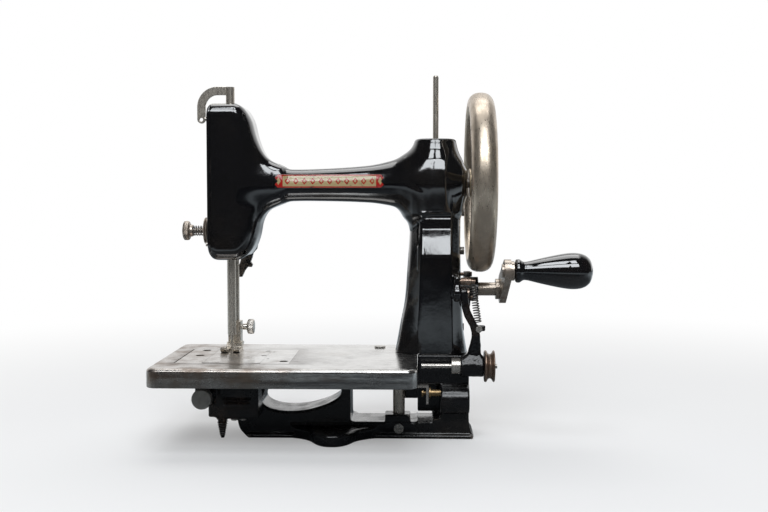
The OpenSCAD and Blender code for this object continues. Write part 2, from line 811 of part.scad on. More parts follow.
// tapered button and two screws below the looper housing
module looper_tension() {
  shank_r = 1.55;
  color(japan) union() {
    rod_z(17, 22, shank_r, looper_tension_x, looper_screw_y);
    translate([looper_tension_x, looper_screw_y, 2.8])
      cylinder(h = 14.3, r1 = 1.3, r2 = 3.7);
    rod_z(17, 18.4, 4.3, looper_tension_x, looper_screw_y);
    for (x = looper_screw_xs) {
      rod_z(16.6, 23, shank_r, x, looper_screw_y);
      rod_z(16.2, 18.4, 2.9, x, looper_screw_y);
    }
  }
}

module regulator_stud() {
  color(brass) stepped_x(
    [[-3.8, 3.9, 2.7], [3.8, 15.9, regulator_r], [-4.9, -3.7, 4.2],
     [-9.4, -4.8, regulator_pivot_r], [-10.6, -9.3, 2.8]],
    regulator_y, regulator_z);
}

module regulator_lever() {
  color(nickel) difference() {
    union() {
      box(-7.2, -5.4, -24, -16, 27.6, 40.5);
      box(-15, -5.4, -24, -16, 40.4, 42.2);
    }
    rod_x(-20, 0, regulator_pivot_r + run_clear, regulator_y, regulator_z);
  }
}

module feed_dog() {
  // toothed strip from the side: y, z
  teeth = concat([[-5, 56.9]],
    [for (i = [0 : 8]) each [[-5 + i, 63.4], [-4.2 + i, 64.3]]],
    [[4, 63.4], [4, 56.9]]);
  color(steel) difference() {
    union() {
      box(needle_x - 6, needle_x + 6, -10, 9, 54, 57);
      for (x = feed_offsets)
        translate([needle_x + x - 1, 0, 0])
          rotate([90, 0, 90]) linear_extrude(2) polygon(teeth);
      box(needle_x - 3, needle_x + 3, 8.9, 24, 54, 57);
    }
    box(needle_x - 3, needle_x + 3, -6, 6, 50, 60);
  }
}

// ---------------------------------------------------------------- head parts
module needle_bar() {
  color(nickel) difference() {
    rod_z(78, 272, bar_r, needle_x, 0);
    rod_z(77, 86, 1.02, needle_x, 0);
  }
}

// slotted cross piece driven by the crank pin
module needle_yoke() {
  z0 = crank_pin_z - 5.5;
  z1 = crank_pin_z + 5.5;
  color(steel) difference() {
    union() {
      box(-155.6, -153.4, -15.6, 15.6, z0, z1);
      box(-165.5, -155.5, -5.6, 5.6, z0, z1);
    }
    rod_z(100, 300, bar_r, needle_x, 0);
    box(-157, -153, -13.2, 13.2, crank_pin_z - 2.7, crank_pin_z + 2.7);
  }
}

// flat hook on top of the needle bar, bent over to an eye at the left
module take_up_hook() {
  bend = [-170.5, 256.5];
  color(nickel) difference() {
    union() {
      translate([0, 1.3, 0]) rotate([90, 0, 0]) linear_extrude(2.6) difference() {
        union() {
          intersection() {
            difference() {
              translate(bend) circle(15.9);
              translate(bend) circle(9.4);
            }
            translate([-190, 256.4]) square([20, 20]);
          }
          translate([-186.4, 247]) square([6.4, 9.6]);
          translate([-183.2, 247]) circle(3.2);
          translate([-170.6, 265.9]) square([11, 6.4]);
        }
        translate([-183.3, 246.8]) circle(1.5, $fn = 32);
      }
      rod_z(264, 272, bar_r + 0.9, needle_x, 0);
    }
    rod_z(260, 280, bar_r, needle_x, 0);
  }
}

module needle() {
  color(steel) union() {
    rod_z(64, 86, 1, needle_x, 0, 24);
    rod_z(53, 64.1, 0.5, needle_x, 0, 24);
    translate([needle_x, 0, 51]) cylinder(h = 2.05, r1 = 0.08, r2 = 0.5, $fn = 24);
  }
}

module presser_bar() {
  color(nickel) union() {
    rod_z(72, 236, bar_r, needle_x, presser_y);
    rod_z(160, 168, 4.7, needle_x, presser_y);
    // lifting lug below the head
    box(needle_x - 2.4, needle_x + 2.4, presser_y, presser_y + 9.6, 125, 129.8);
  }
}

foot_screw_z = 82.3;

module presser_foot() {
  sole_z = bed_top + 0.05;
  color(nickel) difference() {
    union() {
      box(needle_x - 5, needle_x + 5, presser_y - 5, presser_y + 5, 70, 87);
      front_slab(8, 20, [[-168, sole_z], [-153, sole_z], [-154, 70.1], [-167, 70.1]]);
      box(-168, -153, -9, 9, sole_z, bed_top + 2);
      box(-168, -153, -12.5, -8.9, bed_top + 1.2, bed_top + 3.2);
    }
    rod_z(72, 90, bar_r, needle_x, presser_y);
    box(needle_x - 2, needle_x + 2, -20, 7, 60, 80);
    rod_x(needle_x + 3, needle_x + 8, 1.5, presser_y, foot_screw_z);
  }
}

module foot_screw() {
  color(nickel) union() {
    rod_x(needle_x + 3.5, needle_x + 10, 1.48, presser_y, foot_screw_z);
    rod_x(needle_x + 6, needle_x + 9.8, 2.6, presser_y, foot_screw_z);
    translate([needle_x + 9.7, presser_y, foot_screw_z])
      rotate([0, 90, 0]) knurled(6, 36, 5.6);
  }
}

module presser_spring() {
  color(steel) translate([needle_x, presser_y, 168.3]) coil(4.05, 0.45, 81, 14);
}

// lifting lever from the front: x, z
lifter_outline = [
  [-153, 152], [-145, 152], [-143.6, 148.5], [-144.4, 144.5], [-147.4, 141],
  [-148.4, 137], [-149.6, 134], [-147.9, 131.6], [-148.8, 129.6], [-151.8, 129.8],
  [-154.4, 126.6], [-156.6, 121.6], [-158.7, 121.6], [-158.9, 131], [-156.5, 139],
  [-154.6, 147]];

// lever hinged behind the head
module presser_lifter() {
  color(japan) union() {
    front_slab(26.2, 30, lifter_outline);
    rod_y(20.2, 26.3, 1.75, lifter_x, lifter_z);
  }
}

// dished tension discs, right then left: x, radius
disc_profiles = [
  [[-178.6, 0], [-178.6, 8], [-179.3, 10], [-178.4, 10.2], [-177.4, 8], [-177.4, 0]],
  [[-179.8, 0], [-179.8, 8], [-180.9, 10.2], [-179.9, 10.4], [-178.7, 8], [-178.7, 0]]];

// stud with its inner nut, and the discs
module tension_parts() {
  color(nickel) {
    stepped_x([[-199, -172.6, tension_stud_r], [-173, -170.2, 4.5]], 0, tension_z);
    for (profile = disc_profiles) difference() {
      turned(profile, 0, tension_z);
      rod_x(-190, -170, 2.15, 0, tension_z);
    }
  }
}

module tension_spring() {
  color(steel) translate([-190.5, 0, tension_z])
    rotate([0, 90, 0]) coil(3.6, 0.5, 10.3, 6);
}

module tension_nut() {
  color(nickel) difference() {
    union() {
      translate([-198, 0, tension_z]) rotate([0, 90, 0]) knurled(7.5, 72, 5);
      rod_x(-193.1, -190.6, 4.6, 0, tension_z);
    }
    rod_x(-200, -180, tension_stud_r + run_clear, 0, tension_z);
  }
}

// ---------------------------------------------------------------- bobbin winder
// winder arm from the front: x, z
winder_outline = [
  [19, 113], [24.8, 113], [24.2, 104], [27, 94], [31, 84],
  [32.5, 62], [24, 62], [26, 78], [22.4, 90], [19, 100]];

module winder_arm() {
  color(japan) difference() {
    union() {
      rod_x(18.5, 23.6, 5, winder_y, winder_z);
      front_slab(winder_y - 3.5, winder_y + 3.5, winder_outline);
      rod_x(18.6, 36.2, 8, winder_y, spindle_z);
      // spring lug
      box(27, 38, winder_y - 2.5, winder_y + 2.5, 84.5, 89.5);
    }
    rod_x(10, 40, spindle_r + run_clear, winder_y, spindle_z);
    rod_x(10, 40, winder_pivot_r + run_clear, winder_y, winder_z);
    // room for the head of the pivot stud
    rod_x(23.6, 30, 4.4, winder_y, winder_z);
  }
}

module winder_studs() {
  color(nickel) {
    stepped_x([[13.7, 24, winder_pivot_r], [23.7, 25.1, 4]], winder_y, winder_z);
    stepped_x([[13.7, 29.5, winder_upper_r], [19, 26.5, 2.9]], winder_y, winder_upper_z);
  }
}

module winder_spindle() {
  color(nickel) stepped_x([[-11, 46.5, spindle_r], [12, 18.4, 6]], winder_y, spindle_z);
}

// grooved pulley: x, radius
pulley_profile = [
  [36.6, 0], [36.6, 12], [38.4, 12], [39.6, 9.6], [41.6, 9.2],
  [43, 9.8], [44.4, 12], [46, 12], [46, 0]];

module winder_pulley() {
  color(brass) difference() {
    turned(pulley_profile, winder_y, spindle_z);
    rod_x(30, 50, spindle_r, winder_y, spindle_z);
  }
}

module winder_spring() {
  color(steel) translate([27.9, winder_y, 119])
    rotate([0, 171.4, 0]) coil(2.4, 0.45, 27.5, 15);
}

base_frame();
bed_plate();
needle_plate();
hinged_plate();
insert_plate();
plate_screws();
bed_screws();
support_post();
arm_casting();
rear_cover();
cover_screws();
face_plate();
face_plate_screws();
thread_guide();
spool_pin();
shaft_bushes();
head_bushes();
crank_bearing();
bearing_screws();
idler_studs();
arm_shaft();
arm_gear();
needle_crank();
handwheel();
wheel_screw();
upper_idler_gear_1();
upper_idler_gear_2();
lower_idler_gear_1();
lower_idler_gear_2();
crank_shaft();
crank_gear();
crank_arm();
handle_spindle();
handle_grip();
lower_shaft();
lower_gear();
looper();
looper_housing();
feed_dog();
stitch_knob();
looper_tension();
regulator_stud();
regulator_lever();
needle_bar();
needle_yoke();
take_up_hook();
needle();
presser_bar();
presser_foot();
foot_screw();
presser_spring();
presser_lifter();
tension_parts();
tension_spring();
tension_nut();
winder_arm();
winder_studs();
winder_spindle();
winder_pulley();
winder_spring();
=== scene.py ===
"""An old hand-cranked sewing machine in black enamel and worn nickel.

+Z is up and the front faces -Y. The needle head is at the left (-X), the spoked handwheel and
the crank at the right (+X), the winder in front of the pillar. Geometry is in millimetres and
scaled to metres as each mesh is made; materials, lights and camera are in metres.
"""
import functools
import json
import math

import bpy
import bmesh
import numpy as np
from mathutils import Matrix, Vector


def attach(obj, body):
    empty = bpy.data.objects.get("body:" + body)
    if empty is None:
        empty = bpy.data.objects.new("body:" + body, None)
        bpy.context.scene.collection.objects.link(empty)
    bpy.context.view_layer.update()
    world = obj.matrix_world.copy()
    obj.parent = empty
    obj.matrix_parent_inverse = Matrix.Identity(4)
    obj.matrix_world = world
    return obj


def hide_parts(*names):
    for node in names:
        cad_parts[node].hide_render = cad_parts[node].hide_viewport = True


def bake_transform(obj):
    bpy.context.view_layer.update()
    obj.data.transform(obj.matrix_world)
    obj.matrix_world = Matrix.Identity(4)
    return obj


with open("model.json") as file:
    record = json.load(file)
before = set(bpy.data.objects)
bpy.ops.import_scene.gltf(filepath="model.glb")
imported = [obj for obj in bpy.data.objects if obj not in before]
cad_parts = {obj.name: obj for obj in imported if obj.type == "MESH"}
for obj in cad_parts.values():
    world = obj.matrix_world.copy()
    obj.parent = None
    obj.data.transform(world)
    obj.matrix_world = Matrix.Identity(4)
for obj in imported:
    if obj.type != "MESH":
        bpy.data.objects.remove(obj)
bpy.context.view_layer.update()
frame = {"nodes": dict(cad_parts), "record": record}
CAD_PARTS = frame["nodes"]

# ------------------------------------------------------------------ driving sizes, mm
MM = 0.001
ARM_Z = 197.5       # axis of arm and handwheel
CRANK_Z = 114.5     # axis of the crank
LOWER_Z = 41.5      # bore through the base
ARM_FOOT_Z = 64.75  # underside of the arm casting
HUB_TOP = 231.4     # top of the pillar
BED_TOP = 64.7
BED_UNDER = 50.7
NEEDLE_X = -160.5   # needle and presser bars
PRESSER_Y = 16.0
PLATE_X = -173.0    # joint between the head and its side plate
WINDER_Y = -28.0
PIVOT_Z = 113.4     # winder bracket pivot
WINDER_Z = 58.0     # winder wheel axis
LUG_X, LUG_Y = -78, 39      # screw holes in the base lugs
DIAL_X, DIAL_Z = -172, 38.3  # stitch dial axis
CRANK_THROW, CRANK_ANGLE = 48, math.radians(21)
GRIP_Y = -CRANK_THROW * math.cos(CRANK_ANGLE)
GRIP_Z = CRANK_Z + CRANK_THROW * math.sin(CRANK_ANGLE)
BAND_LEFT, BAND_BOTTOM = -124.5, 193.3  # printed band on the arm
BAND_LENGTH, BAND_HEIGHT = 85.0, 10.6


# ------------------------------------------------------------------ mesh helpers
def place(name, data):
    obj = bpy.data.objects.new(name, data)
    bpy.context.scene.collection.objects.link(obj)
    return obj


def discard(obj):
    mesh = obj.data
    bpy.data.objects.remove(obj)
    if mesh.users == 0:
        bpy.data.meshes.remove(mesh)


def make_object(name, verts, faces, smooth=True):
    """mesh object from points in mm"""
    mesh = bpy.data.meshes.new(name)
    mesh.from_pydata([tuple(float(c) * MM for c in v) for v in verts], [],
                     [tuple(int(i) for i in f) for f in faces])
    mesh.update()
    if smooth:
        mesh.polygons.foreach_set("use_smooth", [True] * len(mesh.polygons))
    return place(name, mesh)


def fix_normals(obj):
    bm = bmesh.new()
    bm.from_mesh(obj.data)
    bmesh.ops.remove_doubles(bm, verts=bm.verts, dist=1e-7)
    bmesh.ops.recalc_face_normals(bm, faces=bm.faces)
    bm.to_mesh(obj.data)
    bm.free()
    obj.data.update()
    return obj


def sharpen(obj, degrees):
    """smooth shading with sharp edges above an angle"""
    bm = bmesh.new()
    bm.from_mesh(obj.data)
    limit = math.radians(degrees)
    for edge in bm.edges:
        if len(edge.link_faces) == 2:
            edge.smooth = edge.calc_face_angle(0) < limit
    for face in bm.faces:
        face.smooth = True
    bm.to_mesh(obj.data)
    bm.free()
    return obj


def bevel(obj, width, angle, name="edge"):
    mod = obj.modifiers.new(name, "BEVEL")
    mod.width = width * MM
    mod.segments = 2
    mod.limit_method = "ANGLE"
    mod.angle_limit = math.radians(angle)
    mod.harden_normals = False
    mod.use_clamp_overlap = True
    return obj


def apply_modifiers(obj):
    bpy.context.view_layer.update()
    depsgraph = bpy.context.evaluated_depsgraph_get()
    mesh = bpy.data.meshes.new_from_object(obj.evaluated_get(depsgraph))
    obj.modifiers.clear()
    old = obj.data
    obj.data = mesh
    if old.users == 0:
        bpy.data.meshes.remove(old)


def subtract(obj, cutter):
    mod = obj.modifiers.new("cut", "BOOLEAN")
    mod.operation = "DIFFERENCE"
    mod.solver = "EXACT"
    mod.object = cutter
    apply_modifiers(obj)
    discard(cutter)


def join(name, objs):
    bm = bmesh.new()
    for obj in objs:
        bm.from_mesh(obj.data)
        discard(obj)
    mesh = bpy.data.meshes.new(name)
    bm.to_mesh(mesh)
    bm.free()
    return place(name, mesh)


def lathe(name, profile, axis, at, seg, closed=False):
    """turned solid; profile rows are (distance along the axis, radius)"""
    verts, faces, rings = [], [], []
    for along, radius in profile:
        if radius < 1e-6:
            rings.append([len(verts)])
            verts.append((along, 0.0, 0.0))
        else:
            rings.append(list(range(len(verts), len(verts) + seg)))
            for i in range(seg):
                turn = 2 * math.pi * i / seg
                verts.append((along, radius * math.cos(turn), radius * math.sin(turn)))
    pairs = list(zip(rings, rings[1:])) + ([(rings[-1], rings[0])] if closed else [])
    for first, second in pairs:
        for i in range(seg):
            j = (i + 1) % seg
            if len(first) == 1:
                faces.append((first[0], second[i], second[j]))
            elif len(second) == 1:
                faces.append((first[i], second[0], first[j]))
            else:
                faces.append((first[i], second[i], second[j], first[j]))
    order = {"X": (0, 1, 2), "Y": (2, 0, 1), "Z": (1, 2, 0)}[axis]
    placed = [tuple(v[k] + at[i] for i, k in enumerate(order)) for v in verts]
    return sharpen(fix_normals(make_object(name, placed, faces)), 38)


def drill(obj, radius, start, end, axis, at, seg):
    profile = [(start, 0), (start, radius), (end, radius), (end, 0)]
    subtract(obj, lathe("cutter", profile, axis, at, seg))


def fillet(start, corner, end, steps):
    """points on the quadratic curve that replaces a corner"""
    points = []
    for j in range(steps + 1):
        t = j / steps
        q = start * (1 - t) ** 2 + corner * 2 * t * (1 - t) + end * t * t
        points.append((q.x, q.y))
    return points


def round_profile(points, radius, steps=3):
    """fillet every inner corner of an open profile"""
    out = [points[0]]
    for before, corner, after in zip(points, points[1:], points[2:]):
        corner = Vector(corner)
        a, b = Vector(before) - corner, Vector(after) - corner
        reach = min(radius, a.length * 0.45, b.length * 0.45)
        out += fillet(corner + a / a.length * reach, corner, corner + b / b.length * reach, steps)
    return out + [points[-1]]


def rounded_outline(rows, steps=3):
    """closed outline from rows of (first coordinate, second coordinate, corner radius)"""
    out = []
    for i, row in enumerate(rows):
        corner = Vector(row[:2])
        a = Vector(rows[i - 1][:2]) - corner
        b = Vector(rows[(i + 1) % len(rows)][:2]) - corner
        reach = min(row[2], a.length * 0.48, b.length * 0.48)
        out += fillet(corner + a.normalized() * reach, corner,
                      corner + b.normalized() * reach, steps)
    return out


def wire_along(name, points, radius):
    """eight-sided wire through points, with low conical ends"""
    sides = 8
    points = [Vector(p) for p in points]
    n = len(points)
    tangents = [(points[min(i + 1, n - 1)] - points[max(i - 1, 0)]).normalized()
                for i in range(n)]
    verts, faces = [], []
    up = Vector((0, 0, 1)) if abs(tangents[0].z) < 0.9 else Vector((1, 0, 0))
    across = tangents[0].cross(up).normalized()
    for point, tangent in zip(points, tangents):
        across = (across - tangent * across.dot(tangent)).normalized()
        other = tangent.cross(across)
        for k in range(sides):
            turn = 2 * math.pi * k / sides
            verts.append(point + (across * math.cos(turn) + other * math.sin(turn)) * radius)
    for i in range(n - 1):
        for k in range(sides):
            a, b = i * sides + k, i * sides + (k + 1) % sides
            faces.append((a, b, b + sides, a + sides))
    first, last = len(verts), len(verts) + 1
    verts += [points[0] - tangents[0] * radius * 0.4, points[-1] + tangents[-1] * radius * 0.4]
    for k in range(sides):
        faces.append((first, (k + 1) % sides, k))
        faces.append((last, (n - 1) * sides + k, (n - 1) * sides + (k + 1) % sides))
    return fix_normals(make_object(name, verts, faces))


def make_coil(name, start, end, radius, wire, turns):
    """coil spring between two points, its end turns closing up"""
    start, end = Vector(start), Vector(end)
    length = (end - start).length
    turn_to = Vector((0, 0, 1)).rotation_difference((end - start).normalized())
    matrix = Matrix.Translation(start) @ turn_to.to_matrix().to_4x4()
    steps = turns * 20
    closing = 0.75 / turns  # share of the coil in which the pitch eases at each end
    points = []
    for i in range(steps + 1):
        t = i / steps
        turn = 2 * math.pi * turns * t
        if t < closing:
            z = t * t / (2 * closing)
        elif t > 1 - closing:
            z = 1 - closing - (1 - t) ** 2 / (2 * closing)
        else:
            z = t - closing / 2
        z = z / (1 - closing)
        points.append(matrix @ Vector((radius * math.cos(turn), radius * math.sin(turn),
                                       z * length)))
    return wire_along(name, points, wire)


def block(name, x0, x1, y0, y1, z0, z1):
    verts = [(x, y, z) for x in (x0, x1) for y in (y0, y1) for z in (z0, z1)]
    faces = [(0, 1, 3, 2), (4, 6, 7, 5), (0, 4, 5, 1), (2, 3, 7, 6), (0, 2, 6, 4), (1, 5, 7, 3)]
    return fix_normals(make_object(name, verts, faces, smooth=False))


def prism(name, outline, start, end, axis):
    """outline extruded along an axis; its points are (x, z) for Y and (y, z) for X"""
    n = len(outline)
    verts = [(a, d, b) if axis == "Y" else (d, a, b) for d in (start, end) for a, b in outline]
    faces = [tuple(range(n)), tuple(range(2 * n - 1, n - 1, -1))]
    faces += [(i, (i + 1) % n, n + (i + 1) % n, n + i) for i in range(n)]
    return fix_normals(make_object(name, verts, faces, smooth=False))


def loft(name, rings):
    n = len(rings[0])
    verts = [p for ring in rings for p in ring]
    faces = []
    for k in range(len(rings) - 1):
        for i in range(n):
            j = (i + 1) % n
            faces.append((k * n + i, k * n + j, (k + 1) * n + j, (k + 1) * n + i))
    faces.append(tuple(range(n - 1, -1, -1)))
    faces.append(tuple(range((len(rings) - 1) * n, len(rings) * n)))
    return fix_normals(make_object(name, verts, faces))


def arc(cx, cy, radius, start, end, steps):
    angles = [math.radians(start + (end - start) * i / steps) for i in range(steps + 1)]
    return [(cx + radius * math.cos(a), cy + radius * math.sin(a)) for a in angles]


def rounded_rect(x0, x1, y0, y1, r):
    corners = ((x1 - r, y1 - r), (x0 + r, y1 - r), (x0 + r, y0 + r), (x1 - r, y0 + r))
    return [p for i, (cx, cy) in enumerate(corners)
            for p in arc(cx, cy, r, 90 * i, 90 * i + 90, 10)]


def signed_power(value, power):
    return abs(value) ** power * (1 if value > 0 else -1)


# ------------------------------------------------------------------ signed distances, mm
def smin(a, b, k):
    """union with a fillet of about k"""
    h = np.clip(0.5 + 0.5 * (b - a) / k, 0, 1)
    return b * (1 - h) + a * h - k * h * (1 - h)


def smax(a, b, k):
    """intersection with an edge rounded by about k"""
    return -smin(-a, -b, k)


def union(*shapes):
    return functools.reduce(np.minimum, shapes)


def polygon(px, py, points):
    """signed distance to a closed polygon"""
    dist = np.full(np.broadcast(px, py).shape, 1e9, np.float32)
    inside = np.zeros(dist.shape, bool)
    for i in range(len(points)):
        ax, ay = points[i]
        bx, by = points[i - 1]
        ex, ey = bx - ax, by - ay
        wx, wy = px - ax, py - ay
        t = np.clip((wx * ex + wy * ey) / (ex * ex + ey * ey), 0, 1)
        dx, dy = wx - ex * t, wy - ey * t
        dist = np.minimum(dist, dx * dx + dy * dy)
        crosses = ((ay > py) != (by > py))
        if ay != by:
            inside ^= crosses & (px < (bx - ax) * (py - ay) / (by - ay) + ax)
    dist = np.sqrt(dist)
    return np.where(inside, -dist, dist).astype(np.float32)


def box(x, y, z, lo, hi, r=0.0):
    """box between two corners, edges rounded by r"""
    c = [(a + b) / 2 for a, b in zip(lo, hi)]
    h = [(b - a) / 2 - r for a, b in zip(lo, hi)]
    qx, qy, qz = np.abs(x - c[0]) - h[0], np.abs(y - c[1]) - h[1], np.abs(z - c[2]) - h[2]
    out = np.sqrt(np.maximum(qx, 0) ** 2 + np.maximum(qy, 0) ** 2 + np.maximum(qz, 0) ** 2)
    return out + np.minimum(np.maximum(qx, np.maximum(qy, qz)), 0) - r


def rod(a, b, along, radius, start, end, r=0.0):
    """cylinder: a and b are offsets across its axis; edges rounded by r"""
    q = np.sqrt(a * a + b * b) - (radius - r)
    w = np.abs(along - (start + end) / 2) - ((end - start) / 2 - r)
    out = np.sqrt(np.maximum(q, 0) ** 2 + np.maximum(w, 0) ** 2)
    return out + np.minimum(np.maximum(q, w), 0) - r


def smooth_curve(keys, x):
    """smooth interpolation through (position, value) keys"""
    kx = np.array([k[0] for k in keys], float)
    ky = np.array([k[1] for k in keys], float)
    m = np.gradient(ky, kx)
    i = np.clip(np.searchsorted(kx, x) - 1, 0, len(kx) - 2)
    h = kx[i + 1] - kx[i]
    t = np.clip((x - kx[i]) / h, 0, 1)
    return ((2 * t**3 - 3 * t**2 + 1) * ky[i] + (t**3 - 2 * t**2 + t) * h * m[i]
            + (-2 * t**3 + 3 * t**2) * ky[i + 1] + (t**3 - t**2) * h * m[i + 1])


def curve32(keys, x):
    return smooth_curve(keys, x).astype(np.float32)


def lumps(x, y, z, size, seed):
    """cast-iron skin: a few crossed sine waves, fixed by seed"""
    rng = np.random.RandomState(seed)
    total = np.zeros(np.broadcast(x, y, z).shape, np.float32)
    for _ in range(10):
        k = rng.normal(0, 1, 3)
        k = k / np.linalg.norm(k) * (2 * math.pi / (size * rng.uniform(0.7, 1.8)))
        phase = rng.uniform(0, 6.28)
        total += np.sin(k[0] * x + k[1] * y + k[2] * z + phase).astype(np.float32)
    return total / 10


def surface_points(field, inside):
    """one point for each grid cell that the surface crosses, and the cells' point numbers"""
    corners = list(np.ndindex(2, 2, 2))
    nx, ny, nz = inside.shape
    count = np.zeros((nx - 1, ny - 1, nz - 1), np.int8)
    for a, b, c in corners:
        count += inside[a:nx - 1 + a, b:ny - 1 + b, c:nz - 1 + c]
    mixed = (count > 0) & (count < 8)
    cells = np.argwhere(mixed)
    ids = np.full(mixed.shape, -1, np.int64)
    ids[mixed] = np.arange(len(cells))
    total, hits = np.zeros((len(cells), 3)), np.zeros(len(cells))
    for corner in corners:
        for d in range(3):
            if corner[d] == 1:
                continue
            far = list(corner)
            far[d] = 1
            v0, v1 = field[tuple((cells + corner).T)], field[tuple((cells + far).T)]
            m = (v0 < 0) != (v1 < 0)
            total[m] += corner
            total[m, d] += v0[m] / (v0[m] - v1[m])
            hits[m] += 1
    return cells + total / hits[:, None], ids


def surface_faces(inside, ids):
    """a quad round each grid edge that the surface crosses"""
    faces = []
    for d in range(3):
        def shifted(along):
            return inside[tuple(along if k == d else slice(1, n - 1)
                                for k, n in enumerate(inside.shape))]
        near, far = shifted(slice(0, inside.shape[d] - 1)), shifted(slice(1, None))
        base = np.argwhere(near != far)
        outward = near[tuple(base.T)]
        for k in range(3):
            if k != d:
                base[:, k] += 1
        columns = []
        for du, dv in ((1, 1), (0, 1), (0, 0), (1, 0)):
            cell = base.copy()
            cell[:, (d + 1) % 3] -= du
            cell[:, (d + 2) % 3] -= dv
            columns.append(ids[tuple(cell.T)])
        quads = np.stack(columns, 1)
        quads[~outward] = quads[~outward][:, ::-1]
        faces.append(quads)
    faces = np.concatenate(faces)
    return faces[(faces >= 0).all(1)]


def pull_to_surface(points, shape, cell):
    """one damped step along the gradient, at most 0.45 of a cell long"""
    eps = 0.15 * cell
    p = [points[:, i].astype(np.float32).reshape(-1, 1, 1) for i in range(3)]
    slopes = []
    for d in range(3):
        ahead, behind = list(p), list(p)
        ahead[d] = p[d] + eps
        behind[d] = p[d] - eps
        slopes.append((shape(*ahead) - shape(*behind)).ravel() / (2 * eps))
    gradient = np.stack(slopes, 1)
    steep = np.maximum((gradient * gradient).sum(1), 0.25)
    step = -(shape(*p).ravel() / steep)[:, None] * gradient
    length = np.linalg.norm(step, axis=1)
    step *= np.minimum(1, 0.45 * cell / np.maximum(length, 1e-9))[:, None]
    return points + step * 0.9


def sdf_object(name, shape, lo, hi, cell):
    """surface-nets mesh of shape(x, y, z) < 0 between corners lo and hi"""
    axes = [np.arange(lo[i] - 1.5 * cell, hi[i] + 2.5 * cell, cell, dtype=np.float32)
            for i in range(3)]
    nx, ny, nz = (len(a) for a in axes)
    field = np.empty((nx, ny, nz), np.float32)
    slab = max(1, int(3e6 / (ny * nz)))  # limits the memory used at a time
    for i in range(0, nx, slab):
        grid = np.meshgrid(axes[0][i:i + slab], axes[1], axes[2], indexing="ij")
        field[i:i + slab] = shape(*grid)
    inside = field < 0
    points, ids = surface_points(field, inside)
    faces = surface_faces(inside, ids)
    points = np.stack([axes[i][0] + points[:, i] * cell for i in range(3)], 1)
    for _ in range(3):
        points = pull_to_surface(points, shape, cell)
    return sharpen(make_object(name, points, faces), 42)


# ------------------------------------------------------------------ arm, head and pillar
# rows: x, z, corner radius
HEAD_FRONT = rounded_outline([
    (-196, 155, 3), (-186, 147, 5), (-171, 137.4, 3), (-150.5, 137.4, 10), (-142.5, 145, 6),
    (-137.8, 156, 6), (-136, 168, 6), (-130.5, 177, 6), (-118, 184, 2), (-118, 209.4, 2),
    (-128, 213.5, 6), (-134.6, 221, 6), (-139.4, 233, 6), (-142.2, 246, 6), (-147.6, 254.6, 5),
    (-153, 258.4, 6), (-184, 258.4, 5), (-196, 254, 5)])
# rows: x, y, corner radius
HEAD_PLAN = rounded_outline([
    (-196, -20, 1.5), (-152, -20, 8), (-145, -17.6, 8), (-137, -13.4, 8), (-126, -11.8, 6),
    (-118, -11.6, 1), (-118, 11.6, 1), (-126, 12.6, 6), (-137, 17, 8), (-145, 23, 8),
    (-151, 25, 8), (-196, 25, 1.5)])
PILLAR_PLAN = rounded_outline([
    (-10.5, -18.3, 1.2), (12.3, -18.3, 1.2), (18.4, -11.5, 2.5), (20, 0, 6), (18.4, 11.5, 2.5),
    (12.3, 18.3, 1.2), (-10.5, 18.3, 1.2), (-18.2, 10, 4), (-20, 1, 6), (-18.8, -6.5, 2.2)])
# height, x of the left side of the head
HEAD_LEFT = [(137, -171.5), (139, -173.4), (143, -175.0), (148, -175.8), (156, -176.0),
             (249, -176.0), (254, -175.4), (257, -174.2), (258.5, -172.6)]
# x, radius of the arm
ARM_RADIUS = [(-150, 15.5), (-136, 14.2), (-122, 12.9), (-106, 12.35), (-90, 12.6),
              (-75, 13.1), (-60, 13.9), (-50, 14.7), (-40, 16.4), (-31.7, 18.5),
              (-24.8, 21.2), (-16, 22.5), (-5, 22.5), (5, 22)]
# x, height of the arm's centre line
ARM_CENTRE = [(-150, 195.2), (-122, 195.4), (-75, 196.0), (-50, 196.5), (-30, 197.2),
              (5, ARM_Z)]
# height, radius of the upright hub on the pillar
HUB_RADIUS = [(170, 20.4), (174, 20.9), (180, 21.3), (190, 21.5), (203, 21.5), (210, 21.3),
              (215, 20.6), (219, 19.2), (223, 17.7), (227, 16.7), (HUB_TOP, 15.9)]
# height, reach of the pillar to the left and to the right
PILLAR_LEFT = [(60, 32.8), (64.7, 32.2), (75, 30.2), (88, 27.8), (102, 24.9), (129, 22.4),
               (150, 21.0), (175, 20.0), (200, 20.0)]
PILLAR_RIGHT = [(60, 26.2), (64.7, 25.6), (81, 22.9), (100, 21.4), (130, 20.2), (200, 20)]


def head_shape(x, y, z):
    # the rounding grows to the right and is at least 9.5 on the front half
    k = (1.8 + 6.0 * np.clip((x + 170) / 16, 0, 1)).astype(np.float32)
    k = np.where(y < 0, np.maximum(k, 9.5), k).astype(np.float32)
    body = smax(polygon(x, z, HEAD_FRONT), polygon(x, y, HEAD_PLAN), k)
    # the left side is flat, drawn in slightly at the top and the bottom
    left = np.interp(z, *zip(*HEAD_LEFT)).astype(np.float32)
    return smax(body, left - x, 1.2)


def pillar_distance(x, y, z):
    """the pillar plan, stretched sideways to its width at each height"""
    xl, xr = curve32(PILLAR_LEFT, z), curve32(PILLAR_RIGHT, z)
    rl = (10.6 + 2.5 * np.clip((170 - z) / 105, 0, 1)).astype(np.float32)
    right = np.where(x < 12.3, x, 12.3 + (x - 12.3) * (7.7 / (xr - 12.3)))
    xs = np.where(x < -rl, -10.5 + (x + rl) * (9.5 / (xl - rl)),
                  np.where(x < 0, x * (10.5 / rl), right))
    return polygon(xs, y, PILLAR_PLAN) * 0.8


